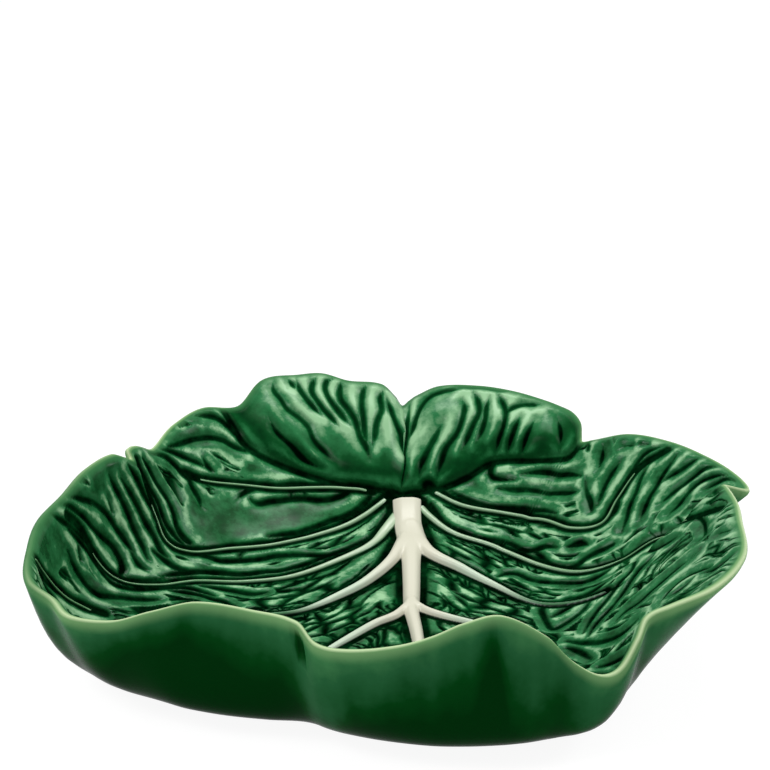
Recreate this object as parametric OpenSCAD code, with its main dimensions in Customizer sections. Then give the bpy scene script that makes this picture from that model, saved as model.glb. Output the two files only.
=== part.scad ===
/* [Leaf outline] */
// Width of the oval that the rim waves in and out of
oval_w = 380; // [315:5:460]
// Depth of that oval, from the front to the stalk end
oval_d = 348; // [290:2:420]
// Height of the highest rim wave above the table
rim_h = 82; // [60:1:110]

/* [Clay] */
// Thickness of the clay at the middle of the floor
floor_t = 6; // [4:0.5:10]
// Thickness of the walls
wall_t = 5.5; // [4:0.5:8]
// Thickness of the rounded lip
lip_t = 4.6; // [3:0.2:7]
// How far the floor swells up below the stalk end
heel_h = 7.5; // [0:0.5:12]

/* [Foot] */
// Outer radius of the foot ring
foot_r = 80; // [60:1:96]
// Width of the foot ring
foot_w = 7; // [4:0.5:12]
// Height of the foot ring, which is the gap under the floor
foot_h = 3.5; // [2:0.5:6]
// Rounding of the foot ring's lower edges
foot_round = 1.2; // [0.4:0.1:1.8]
// Flat clay left outside the foot ring before the wall turns up
foot_margin = 4; // [2:0.5:8]

/* [Ribs] */
// Width of the midrib at the stalk end
stalk_w = 15; // [10:0.5:20]
// Width of the midrib at the front
front_w = 10; // [7:0.5:14]
// Width of the side ribs where they leave the midrib
side_w = 8; // [5:0.5:11]
// Width of the side ribs at their ends
side_end_w = 4.5; // [3:0.5:7]
// Height of the midrib above the floor
midrib_h = 4; // [2:0.5:6]
// Height of the side ribs' ends above the floor
side_end_h = 2; // [1:0.5:4]
// Thickness of the slip that joins the ribs to the leaf
slip_t = 0.05; // [0.02:0.01:0.1]

/* [Fineness] */
// Number of steps around the leaf
around = 144; // [72:12:144]
// Number of steps up each wall
up = 11; // [8:1:12]

/* [Hidden] */

half_w = oval_w / 2;
half_d = oval_d / 2;
flat_r = foot_r + foot_margin;
// Steps across the flat of the floor, and over the lip
floor_steps = 5;
lip_steps = 4;
// Sides and dome step of a rib's bead, beads for each stretch of a rib's line,
// and how far a bead reaches into the floor before it is cut to it
rib_facets = 12;
dome_step = 45;
beads_each = 2;
rib_sink = floor_t / 3;
// Sides of the foot ring
arc_facets = 180;

// The rim, anticlockwise from the right hand side: the angle, how far out the
// lip reaches as a share of the oval, and its height as a share of rim_h.
rim_shares = [
    [0, 0.955, 0.915], [7, 0.96, 0.90], [12, 1.045, 0.84], [18, 1.035, 0.855],
    [26, 1.03, 0.855], [34, 1.02, 0.855], [43, 0.995, 0.83], [52, 0.965, 0.71],
    [57, 1.02, 0.84], [63, 1.055, 0.89], [69, 1.07, 0.915], [75, 1.07, 0.93],
    [82, 1.06, 0.915], [86, 1.055, 0.82], [88, 1.03, 0.78], [92, 1.045, 0.94],
    [98, 1.055, 0.965], [102, 1.11, 0.99], [106, 1.12, 0.985], [112, 1.12, 0.975],
    [118, 1.05, 0.855], [125, 1.05, 0.89], [132, 1.015, 0.855], [143, 0.92, 0.83],
    [149, 0.905, 0.93], [154, 0.875, 0.90], [158, 0.90, 0.975], [166, 0.92, 0.965],
    [177, 0.94, 0.93], [186, 0.99, 0.89], [195, 1.025, 0.855], [206, 1.07, 0.805],
    [211, 1.045, 0.76], [217, 1.045, 0.73], [222, 0.98, 0.73], [228, 0.93, 0.83],
    [234, 0.865, 0.90], [244, 0.82, 0.88], [253, 0.85, 0.88], [257, 0.89, 0.80],
    [262, 0.905, 0.79], [270, 0.91, 0.83], [276, 0.885, 0.865], [281, 0.89, 0.94],
    [287, 0.90, 0.975], [294, 0.925, 0.83], [298, 0.945, 0.66], [301, 0.99, 0.585],
    [304, 1.005, 0.61], [307, 1.005, 0.76], [310, 0.985, 0.855], [314, 1.0, 0.89],
    [322, 1.025, 0.915], [334, 1.01, 0.93], [349, 0.96, 0.93]];

// The corner between floor and wall, before it is rounded: the angle, its place
// as a share of the way from the edge of the flat floor out to the oval, and the
// tightness of the turn, where 1 is tightest.
turn_shares = [
    [0, 0.30, 0.72], [30, 0.31, 0.70], [60, 0.28, 0.67], [90, 0.23, 0.67],
    [120, 0.36, 0.67], [150, 0.58, 0.75], [180, 0.78, 0.85], [192, 0.91, 0.90],
    [202, 0.97, 0.94], [212, 0.91, 0.95], [222, 0.83, 0.95], [232, 0.81, 0.95],
    [244, 0.68, 0.95], [252, 0.60, 0.95], [261, 0.68, 0.95], [270, 0.79, 0.95],
    [280, 0.92, 0.95], [290, 0.99, 0.95], [300, 0.92, 0.95], [308, 0.85, 0.95],
    [319, 0.61, 0.92], [335, 0.27, 0.80], [348, 0.26, 0.73]];

// Where the heel of the floor swells: its middle and half length from front to
// back as shares of half_d, and its half width as a share of half_w.
heel_middle_share = 0.46;
heel_length_share = 0.38;
heel_width_share = 0.75;

// The ribs' lines from the stalk end outwards, as shares of half_w and half_d.
midrib_shares = [
    [0.045, 0.665], [0.045, 0.57], [0.045, 0.435], [0.05, 0.305], [0.05, 0.19],
    [0.05, 0.06], [0.06, -0.135], [0.07, -0.28], [0.075, -0.42], [0.08, -0.58]];
side_rib_shares = [
    [[0.045, 0.43], [-0.005, 0.31], [-0.07, 0.22], [-0.155, 0.12], [-0.24, 0.03],
     [-0.32, -0.015], [-0.38, -0.03]],
    [[0.05, 0.43], [0.105, 0.345], [0.195, 0.26], [0.31, 0.16], [0.40, 0.065],
     [0.475, 0.045]],
    [[0.045, 0.655], [0.0, 0.615], [-0.03, 0.505], [-0.095, 0.40], [-0.22, 0.305],
     [-0.35, 0.23], [-0.51, 0.21], [-0.62, 0.17]],
    [[0.045, 0.655], [0.095, 0.605], [0.14, 0.515], [0.23, 0.45], [0.36, 0.37],
     [0.445, 0.29], [0.515, 0.225]],
    [[0.05, 0.08], [0.015, 0.015], [-0.055, -0.07], [-0.135, -0.195], [-0.20, -0.30]],
    [[0.05, 0.08], [0.085, 0.03], [0.17, -0.035], [0.26, -0.10], [0.33, -0.17]]];

// A value part of the way from one number, or row of numbers, to another
function mix(from, to, share) = from + (to - from) * share;

// A share that starts and ends gently
function ease(share) = let (s = min(1, max(0, share))) s * s * (3 - 2 * s);

// One row of a table that repeats every full turn
function row_at(table, i) =
    let (turn = floor(i / len(table)), row = table[i - turn * len(table)])
    [for (k = [0:len(row) - 1]) row[k] + (k == 0 ? 360 * turn : 0)];

// A smooth curve through a table's rows, read at any angle
function along(table, turned) =
    let (
        angle = turned - 360 * floor(turned / 360),
        i = len([for (row = table) if (row[0] <= angle) row]) - 1,
        before = row_at(table, i - 1),
        here = row_at(table, i),
        next = row_at(table, i + 1),
        after = row_at(table, i + 2),
        span = next[0] - here[0],
        s = (angle - here[0]) / span,
        slope_here = (next - before) * span / (next[0] - before[0]),
        slope_next = (after - here) * span / (after[0] - here[0]))
    here * (2 * s ^ 3 - 3 * s ^ 2 + 1) + slope_here * (s ^ 3 - 2 * s ^ 2 + s)
        + next * (3 * s ^ 2 - 2 * s ^ 3) + slope_next * (s ^ 3 - s ^ 2);

// A point, and then the direction, of a curve with four guide points
function bend(g, t) = (1 - t) ^ 3 * g[0] + 3 * t * (1 - t) ^ 2 * g[1]
    + 3 * t ^ 2 * (1 - t) * g[2] + t ^ 3 * g[3];
function heading(g, t) =
    let (v = (1 - t) ^ 2 * (g[1] - g[0]) + 2 * t * (1 - t) * (g[2] - g[1])
        + t ^ 2 * (g[3] - g[2]))
    v / norm(v);

// The way out from the middle of the floor at an angle round the oval
function outward(angle) = [half_w * cos(angle), half_d * sin(angle)];

// The guide points of the wall's outside: distance out and height
function wall_guides(angle) =
    let (
        reach = norm(outward(angle)),
        rim = along(rim_shares, angle),
        turn = along(turn_shares, angle),
        start = [flat_r, foot_h],
        corner = [mix(flat_r, reach, turn[1]), foot_h],
        end = [rim[1] * reach, rim[2] * rim_h - lip_t / 2])
    [start, mix(start, corner, turn[2]), mix(end, corner, turn[2]), end];

// How thick the clay is, from the edge of the flat floor to the lip
function clay(t) = mix(mix(floor_t, wall_t, ease(2 * t)), lip_t, ease(2 * t - 1));

// The inside of the wall lies square to its outside, one thickness in
function wall_inside(g, t) =
    let (h = heading(g, t)) bend(g, t) + clay(t) * [-h[1], h[0]];

// The lip is half a circle from the inside, over the top, to the outside
function lip(g, s) =
    let (h = heading(g, 1), in = [-h[1], h[0]])
    g[3] + lip_t / 2 * (in + in * cos(180 * s) + h * sin(180 * s));

// The swelling of the floor below the stalk end
function heel(x, y) =
    let (
        along_share = (y / half_d - heel_middle_share) / heel_length_share,
        across_share = x / half_w / heel_width_share)
    heel_h * ease(1 - abs(along_share)) * ease(1 - abs(across_share));

// The inside of the leaf at one angle, from the floor up to the lip
function inside_run(angle) =
    let (g = wall_guides(angle), way = outward(angle) / norm(outward(angle)))
    concat(
        [for (i = [1:floor_steps - 1]) let (at = way * flat_r * i / floor_steps)
            [at[0], at[1], foot_h + floor_t + heel(at[0], at[1])]],
        [for (i = [0:up]) let (t = i / up, p = wall_inside(g, t), at = way * p[0])
            [at[0], at[1], p[1] + heel(at[0], at[1]) * (1 - ease(t))]]);

// The whole run at one angle: inside, lip and outside down to the flat base
function whole_run(angle) =
    let (g = wall_guides(angle), way = outward(angle) / norm(outward(angle)))
    concat(
        inside_run(angle),
        [for (i = [1:lip_steps - 1]) let (p = lip(g, i / lip_steps))
            [way[0] * p[0], way[1] * p[0], p[1]]],
        [for (i = [up:-1:0]) let (p = bend(g, i / up))
            [way[0] * p[0], way[1] * p[0], p[1]]]);

// Height of the leaf's inside above the table at a place on the floor
function floor_at(x, y) =
    let (run = inside_run(atan2(y / half_d, x / half_w)))
    lookup(norm([x, y]), concat(
        [[0, foot_h + floor_t + heel(0, 0)]],
        [for (p = run) [norm([p[0], p[1]]), p[2]]]));

// The leaf: a curled cabbage leaf of even clay with a waved, rounded lip
module leaf_solid() {
    runs = [for (i = [0:around - 1]) whole_run(360 * i / around)];
    rows = len(runs[0]);
    top = around * rows;
    points = concat(
        [for (run = runs) each run],
        [[0, 0, foot_h + floor_t + heel(0, 0)], [0, 0, foot_h]]);
    faces = concat(
        [for (i = [0:around - 1]) let (a = i * rows, b = (i + 1) % around * rows)
            [top, b, a]],
        [for (i = [0:around - 1], j = [0:rows - 2])
            let (a = i * rows + j, b = (i + 1) % around * rows + j)
            each [[a, b, b + 1], [a, b + 1, a + 1]]],
        [for (i = [0:around - 1])
            let (a = (i + 1) * rows - 1, b = ((i + 1) % around + 1) * rows - 1)
            [top + 1, a, b]]);
    polyhedron(points, faces);
}

// A smooth curve through a line's points, at a share of its whole run
function point_on(line, share) =
    let (
        last = len(line) - 1,
        i = min(last - 1, floor(share * last)),
        s = share * last - i,
        lean_in = (line[i + 1] - line[max(0, i - 1)]) / 2,
        lean_out = (line[min(last, i + 2)] - line[i]) / 2)
    line[i] * (2 * s ^ 3 - 3 * s ^ 2 + 1) + lean_in * (s ^ 3 - 2 * s ^ 2 + s)
        + line[i + 1] * (3 * s ^ 2 - 2 * s ^ 3) + lean_out * (s ^ 3 - s ^ 2);

// One domed bead of clay on the floor, from which the ribs are drawn out
module bead(at_share, w, h) {
    x = at_share[0] * half_w;
    y = at_share[1] * half_d;
    translate([x, y, floor_at(x, y)])
        rotate_extrude($fn = rib_facets) polygon(concat(
            [[0, -rib_sink], [w / 2, -rib_sink]],
            [for (a = [0:dome_step:90]) [w / 2 * cos(a), h * sin(a)]]));
}

// A rib along its line, tapering from one width and height to another
module rib(line, start_w, end_w, start_h, end_h) {
    beads = beads_each * (len(line) - 1);
    for (i = [1:beads]) hull() for (s = [i - 1, i] / beads)
        bead(point_on(line, s), mix(start_w, end_w, s), mix(start_h, end_h, s));
}

// The green leaf itself
module leaf_shell() {
    color("#1e6b33") leaf_solid();
}

// The ivory midrib and its side ribs, laid on the floor of the leaf
module midrib() {
    color("#e6dfc2") difference() {
        union() {
            rib(midrib_shares, stalk_w, front_w, midrib_h, midrib_h);
            for (line = side_rib_shares)
                rib(line, side_w, side_end_w, midrib_h, side_end_h);
        }
        translate([0, 0, slip_t]) leaf_solid();
    }
}

// The foot ring under the floor, with rounded lower edges
module foot_ring() {
    color("#d8cfba") rotate_extrude($fn = arc_facets) polygon([
        [foot_r - foot_w, foot_h], [foot_r - foot_w, foot_round],
        [foot_r - foot_w + foot_round, 0], [foot_r - foot_round, 0],
        [foot_r, foot_round], [foot_r, foot_h]]);
}

leaf_shell();
midrib();
foot_ring();
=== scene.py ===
"""A cabbage leaf platter in glazed earthenware, seen from the front and a little above.

The leaf is one closed surface: its inside is a function of the angle round the
leaf and of the share of the way from its middle to the lip. Places on it are
written as leaf places [p, q]: millimetres along the clay from the middle of the
leaf, to the right and towards the stalk end. The skin of the leaf puffs up
between its lines, some drawn one by one and the rest a cell pattern, and the glaze
pools along the same lines.
"""
import math
import bpy
import numpy as np
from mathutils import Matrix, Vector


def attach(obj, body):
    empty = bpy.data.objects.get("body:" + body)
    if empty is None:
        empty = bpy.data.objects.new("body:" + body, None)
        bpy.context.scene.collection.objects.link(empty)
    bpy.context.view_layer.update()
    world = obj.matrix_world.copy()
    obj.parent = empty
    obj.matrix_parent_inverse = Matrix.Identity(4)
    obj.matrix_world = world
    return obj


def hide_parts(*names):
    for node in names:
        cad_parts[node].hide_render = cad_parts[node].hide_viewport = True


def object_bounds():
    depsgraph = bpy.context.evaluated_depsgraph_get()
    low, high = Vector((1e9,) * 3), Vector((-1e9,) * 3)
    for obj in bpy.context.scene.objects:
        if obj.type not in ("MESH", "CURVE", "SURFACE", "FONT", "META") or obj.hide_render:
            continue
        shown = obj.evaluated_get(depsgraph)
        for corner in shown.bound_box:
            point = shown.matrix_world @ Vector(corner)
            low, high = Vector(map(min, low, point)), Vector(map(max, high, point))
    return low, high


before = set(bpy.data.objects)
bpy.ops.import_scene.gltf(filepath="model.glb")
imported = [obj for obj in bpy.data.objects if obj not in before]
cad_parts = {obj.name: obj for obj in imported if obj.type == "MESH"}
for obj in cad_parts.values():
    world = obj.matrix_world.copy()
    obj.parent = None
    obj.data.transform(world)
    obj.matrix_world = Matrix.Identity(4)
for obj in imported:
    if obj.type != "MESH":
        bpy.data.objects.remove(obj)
cad_low, cad_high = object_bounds()

MM = 0.001

# The leaf's driving sizes in millimetres, as on the drawing of the dish
OVAL_W = 380.0
OVAL_D = 348.0
RIM_H = 82.0
FLOOR_T = 6.0
WALL_T = 5.5
LIP_T = 4.6
HEEL_H = 7.5
FOOT_R = 80.0
FOOT_H = 3.5
FLAT_R = FOOT_R + 4.0

# The rim from the right hand side, anticlockwise: angle, reach as a share of
# the oval, height as a share of the rim's height
RIM_SHARES = np.array([
    [0, 0.955, 0.915], [7, 0.955, 0.905], [9.6, 0.965, 0.885], [10.8, 1.03, 0.825],
    [12.5, 1.04, 0.835], [18, 1.035, 0.855], [26, 1.03, 0.855], [34, 1.02, 0.855],
    [43, 0.995, 0.83], [50, 0.965, 0.735], [52.5, 0.965, 0.705], [53.5, 0.985, 0.745],
    [54.5, 1.01, 0.80], [57, 1.035, 0.85], [60, 1.045, 0.875], [63, 1.055, 0.89],
    [69, 1.07, 0.915], [75, 1.07, 0.93], [82, 1.06, 0.915], [86, 1.055, 0.835],
    [87.3, 1.045, 0.80], [88.4, 1.03, 0.775], [89.5, 1.035, 0.84], [92, 1.045, 0.935],
    [98, 1.055, 0.965], [102, 1.11, 0.99], [106, 1.12, 0.985], [112, 1.12, 0.975],
    [118, 1.05, 0.855], [125, 1.05, 0.89], [132, 1.015, 0.855], [143, 0.92, 0.83],
    [149, 0.905, 0.925], [152.6, 0.895, 0.94], [153.6, 0.875, 0.895], [155, 0.885, 0.92],
    [158, 0.90, 0.97], [166, 0.92, 0.965], [177, 0.94, 0.93], [186, 0.99, 0.89],
    [195, 1.025, 0.855], [206, 1.07, 0.805], [211, 1.045, 0.76], [217, 1.045, 0.73],
    [222, 0.98, 0.73], [228, 0.93, 0.83], [234, 0.865, 0.90], [244, 0.82, 0.88],
    [253, 0.85, 0.88], [257, 0.89, 0.80], [262, 0.905, 0.79], [270, 0.91, 0.83],
    [276, 0.885, 0.865], [281, 0.89, 0.94], [287, 0.90, 0.975], [294, 0.925, 0.83],
    [298, 0.945, 0.66], [301, 0.99, 0.585], [304, 1.005, 0.61], [307, 1.005, 0.76],
    [310, 0.985, 0.855], [314, 1.0, 0.89], [322, 1.025, 0.915], [334, 1.01, 0.93],
    [349, 0.96, 0.93]])

# Where floor turns to wall: angle, place as a share of the way from the flat's
# edge to the oval, and tightness of the turn
TURN_SHARES = np.array([
    [0, 0.30, 0.72], [30, 0.31, 0.70], [60, 0.28, 0.67], [90, 0.23, 0.67],
    [120, 0.36, 0.67], [150, 0.58, 0.75], [180, 0.78, 0.85], [192, 0.91, 0.90],
    [202, 0.97, 0.94], [212, 0.91, 0.95], [222, 0.83, 0.95], [232, 0.81, 0.95],
    [244, 0.68, 0.95], [252, 0.60, 0.95], [261, 0.68, 0.95], [270, 0.79, 0.95],
    [280, 0.92, 0.95], [290, 0.99, 0.95], [300, 0.92, 0.95], [308, 0.85, 0.95],
    [319, 0.61, 0.92], [335, 0.27, 0.80], [348, 0.26, 0.73]])

# The swelling of the floor below the stalk end: middle, half length and half
# width as shares of half the leaf's depth and width
HEEL_MIDDLE_SHARE = 0.46
HEEL_LENGTH_SHARE = 0.38
HEEL_WIDTH_SHARE = 0.75

# Ivory ribs as rows of leaf place and width in millimetres, from the stalk end
TRUNK = [[7.5, 131, 17.5], [7.5, 112, 16], [8, 96, 15], [9, 76, 13], [9, 60, 10.5],
         [9, 35, 9.5], [9, 12, 9], [10, -6, 8], [11, -23, 7], [12, -42, 6]]
IVORY_SIDE_RIBS = [
    [[6, 84, 9], [-1, 59, 7.2], [-14, 38, 6], [-32, 21, 4.9], [-50, 5, 3.2],
     [-66, 0, 2.5], [-84, -1, 1.8]],
    [[10, 98, 11], [18, 69, 9], [36, 52, 6.4], [56, 35, 4.3], [76, 16, 3],
     [96, 11, 2.5], [116, 7, 1.8]],
    [[9, 14, 6], [1, -2, 5.5], [-10, -13, 5], [-23, -31, 4.5], [-35, -48, 3.5]],
    [[9, 14, 6], [18, 3, 5.5], [30, -6, 5], [43, -13, 4], [54, -20, 3]]]
# A rib's height is this one times a share of its width over the full width, less a
# little, and the share is never under the least one
IVORY_HEIGHT = 3.8
FULL_RIB_WIDTH = 6.0
THIN_RIB_LESS = 0.06
THIN_RIB_SHARE = 0.2
# How much higher two ribs are where they meet, and how softly one runs into the other
RIB_MEETING = 0.3
RIB_BLEND = 0.9
# The ribs' net: the size of its cells, how far past a rib's edge its dome is worked out
# and how low that goes, and the leaf places that the net covers
RIB_CELL = 0.7
RIB_REACH = 12.0
DEEPEST_DOME = -6.0
RIB_AREA_P = (-92, 124)
RIB_AREA_Q = (-56, 128)
# Cells wholly below the first height are left out, no point lies below the second, and
# the layer inside the clay is the third deep
RIB_KEPT = -1.2
RIB_LOWEST = -1.6
RIB_SINK = 2.4
# Where the stalk end of the trunk is cut off
TRUNK_CUT = 122.0
# The ribs lie on a mean of the leaf at these places to the left and right of them,
# which evens out the fold between the two lobes
RIB_SPREAD = (-6, -3, 0, 3, 6)

# Green side veins as rows of leaf place and width, and how ivory each is near the trunk
GREEN_VEINS = [
    [[6, 119, 7.5], [-4, 97, 6.2], [-14, 75, 5.1], [-33, 59, 4.4], [-56, 47, 3.7], [-80, 43, 3.3],
     [-108, 40, 2.5], [-130, 27, 1.9], [-156, 14, 1.4], [-190, 12, 1.4], [-206, 2, 1]],
    [[12, 124, 3.6], [20, 108, 4.4], [33, 92, 3.9], [55, 79, 3.6], [80, 59, 3.3], [104, 43, 3],
     [128, 38, 1.6], [154, 40, 1.4], [183, 14, 1.2], [195, 1, 1]],
    [[-1, 127, 2.6], [-16, 109, 3.8], [-34, 95, 3.6], [-62, 83, 2.8], [-92, 75, 2.5],
     [-114, 64, 2], [-131, 63, 1.6], [-147, 77, 1.4], [-170, 91, 1]],
    [[20, 131, 2.6], [37, 117, 3.2], [62, 107, 2.8], [84, 97, 2.7], [101, 83, 2.5], [120, 78, 2.3],
     [132, 92, 1.6], [148, 107, 1.2], [168, 110, 1]],
    [[-12, 128, 2.2], [-34, 131, 2.5], [-62, 128, 2.3], [-92, 124, 1.9], [-127, 117, 1.6]],
    [[-214, -66, 1.6], [-194, -43, 1.7], [-170, -25, 1.7], [-155, -18, 1.4]]]
VEIN_IVORY = (1.0, 0.6, 0.45, 0.35, 0.2, 0.0)
# The height of a vein of the usual width, in millimetres; the others go with the
# square root of their width
VEIN_HEIGHT = 1.45
VEIN_USUAL_WIDTH = 3.0
# How far the ends of the veins go under the leaf, and the depths of their feet
VEIN_END_SINK = 0.5
VEIN_FOOT = -0.3
VEIN_ROOT = -1.3
# Ivory runs this far down the veins from the stalk end of the trunk
VEIN_IVORY_REACH = 115.0

# How wide the dark glaze pools beside a rib, a vein and the crease, and in a furrow
RIB_POOL = 2.4
VEIN_POOL = 1.4
CREASE_POOL = 1.2
FURROW_POOL = 0.25
# Past the trunk's end its pool gets shallow by this much for each millimetre
POOL_END_SLOPE = 1.5
# The share of a drawn furrow's width that is its flat bottom on each side, the narrowing
# of the furrows on the lobes, and how much narrower a furrow is at its ends
FURROW_SHARE = 0.28
LOBE_NARROWING = 0.35
LOBE_TAPER = 8.0
WALL_TAPER = 4.0
# Furrows drawn over the photograph: photo place in its 770 by 770 frame, and
# the furrow's width in millimetres. First the two lobes at the stalk end.
LOBE_FURROWS = [
    [[272, 380, 1], [274, 392, 2], [279, 403, 2], [287, 413, 2.4], [297, 421, 2], [306, 432, 2],
     [314, 445, 2], [323, 456, 2], [336, 467, 1]],
    [[288, 377, 2], [291, 386, 2], [296, 392, 1]],
    [[297, 379, 1], [300, 390, 1.5], [305, 401, 1.5], [313, 412, 1.5], [323, 422, 1]],
    [[316, 378, 2], [311, 385, 3], [311, 395, 3], [316, 405, 2], [324, 415, 1.5], [334, 424, 1.5],
     [341, 431, 1]],
    [[335, 376, 2], [328, 382, 3], [326, 392, 3], [330, 403, 2.4], [337, 412, 2], [345, 421, 1.5],
     [350, 430, 1]],
    [[343, 380, 3], [340, 390, 3], [343, 401, 3], [350, 413, 2.4], [356, 426, 2.4],
     [361, 440, 2.4], [365, 452, 3], [369, 464, 4]],
    [[367, 382, 1], [363, 392, 2], [362, 406, 2], [363, 421, 2], [364, 438, 2], [367, 452, 2]],
    [[386, 388, 1], [381, 400, 2], [380, 414, 2.4], [377, 427, 2.4], [374, 440, 2.4],
     [371, 454, 3]],
    [[385, 396, 1], [388, 410, 2], [392, 424, 2], [395, 438, 2], [399, 452, 2], [402, 466, 2]],
    [[409, 404, 3], [409, 424, 3], [409, 442, 3.4], [406, 458, 4], [404, 472, 5], [402, 488, 6]],
    [[266, 420, 1], [276, 436, 2.4], [290, 450, 3], [305, 462, 3], [322, 472, 2]],
    [[466, 388, 1], [452, 390, 1.5], [440, 393, 1.5], [430, 399, 2], [424, 408, 2.4],
     [420, 420, 2.4], [415, 433, 2.4], [411, 445, 2]],
    [[445, 425, 1.5], [438, 440, 3], [430, 452, 3], [424, 466, 3.4], [420, 480, 3]],
    [[461, 400, 2], [465, 412, 3], [462, 426, 2.4], [456, 439, 2.4], [448, 452, 3], [442, 466, 3.4],
     [438, 480, 3]],
    [[473, 391, 1], [478, 402, 2.4], [479, 416, 2.4], [475, 430, 2], [469, 443, 2], [462, 456, 1]],
    [[490, 396, 1], [488, 410, 1.5], [487, 423, 1.5], [482, 436, 1.5], [476, 449, 1]],
    [[497, 394, 1], [503, 404, 2], [507, 416, 2], [505, 430, 2], [500, 444, 2], [496, 456, 1]],
    [[505, 420, 1], [512, 412, 2], [522, 407, 2], [534, 405, 2], [543, 406, 1]],
    [[523, 416, 1], [518, 430, 2], [512, 444, 2], [507, 457, 1]],
    [[538, 419, 1], [532, 433, 1.5], [526, 447, 1.5], [522, 458, 1]],
    [[556, 418, 1], [560, 428, 2], [562, 440, 1.5], [560, 452, 1]],
    [[452, 386, 1], [468, 387, 1.5], [484, 388, 1.5], [500, 388, 1.5], [512, 391, 1]]]
LEFT_WALL_FURROWS = [
    [[66, 494, 1], [78, 499, 1.5], [92, 503, 2], [104, 513, 2], [115, 527, 2.4], [124, 540, 3],
     [132, 551, 1]],
    [[58, 501, 1], [70, 507, 1.5], [84, 519, 1.5], [98, 534, 2], [110, 546, 3], [118, 557, 4],
     [121, 569, 4], [118, 577, 3]],
    [[50, 513, 0.6], [60, 521, 1], [71, 529, 1], [82, 540, 1], [93, 551, 1.2], [104, 565, 1.5],
     [114, 575, 2], [126, 580, 1.5], [144, 582, 1], [165, 579, 1]],
    [[62, 524, 0.6], [75, 537, 1], [85, 549, 1], [93, 562, 1], [102, 575, 1.2], [112, 584, 1.2],
     [125, 589, 1], [142, 590, 1], [162, 589, 1], [183, 588, 1], [200, 592, 1], [215, 597, 1]],
    [[131, 461, 0.6], [141, 474, 1.2], [148, 488, 1.2], [157, 504, 1.2], [163, 521, 1.5],
     [172, 535, 1.5], [184, 546, 1.5]],
    [[141, 459, 1.5], [148, 470, 3], [156, 484, 2.4], [166, 499, 2], [173, 513, 2],
     [177, 527, 2.4], [182, 538, 4], [189, 543, 6]],
    [[149, 452, 1], [163, 457, 2.4], [173, 465, 3], [182, 474, 3], [188, 480, 2], [192, 489, 2],
     [198, 498, 2], [201, 507, 1]],
    [[160, 450, 1], [172, 453, 1], [185, 459, 1], [196, 463, 1], [205, 468, 1]],
    [[168, 447, 1], [180, 444, 2], [192, 440, 2], [208, 438, 2], [222, 441, 2], [235, 448, 2],
     [246, 452, 3]],
    [[190, 413, 1], [205, 416, 2], [217, 419, 2], [227, 427, 2.4], [236, 436, 2.4],
     [243, 444, 3], [250, 450, 4]],
    [[203, 460, 1], [208, 467, 2], [213, 472, 2]],
    [[32, 561, 1], [41, 577, 1.5], [50, 587, 2], [62, 596, 2], [73, 604, 2], [85, 610, 2],
     [100, 615, 2]],
    [[36, 572, 0.6], [45, 588, 1], [52, 598, 1], [58, 606, 0.6]],
    [[66, 550, 0.6], [73, 566, 1.2], [82, 580, 1.5], [90, 590, 2.4], [99, 596, 2.4], [112, 598, 2],
     [128, 599, 1.5], [145, 601, 1.5], [160, 600, 1]],
    [[78, 548, 2], [80, 560, 3]],
    [[108, 474, 1], [114, 488, 1.5], [121, 503, 1.5], [128, 518, 1.5], [134, 532, 2],
     [141, 546, 2], [147, 560, 1]],
    [[120, 478, 1], [129, 494, 1.5], [137, 509, 1.5], [145, 524, 2], [153, 536, 2], [160, 550, 2],
     [166, 558, 1]],
    [[127, 465, 0.6], [136, 480, 1], [145, 496, 1], [151, 510, 1.5], [157, 525, 1.5],
     [165, 539, 1]],
    [[107, 498, 1], [110, 512, 2]],
    [[131, 553, 1], [138, 565, 1.5], [146, 571, 1]],
    [[152, 552, 1], [163, 561, 1.5], [175, 568, 2], [190, 572, 2]],
    [[222, 483, 3], [232, 486, 3]]]
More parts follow.
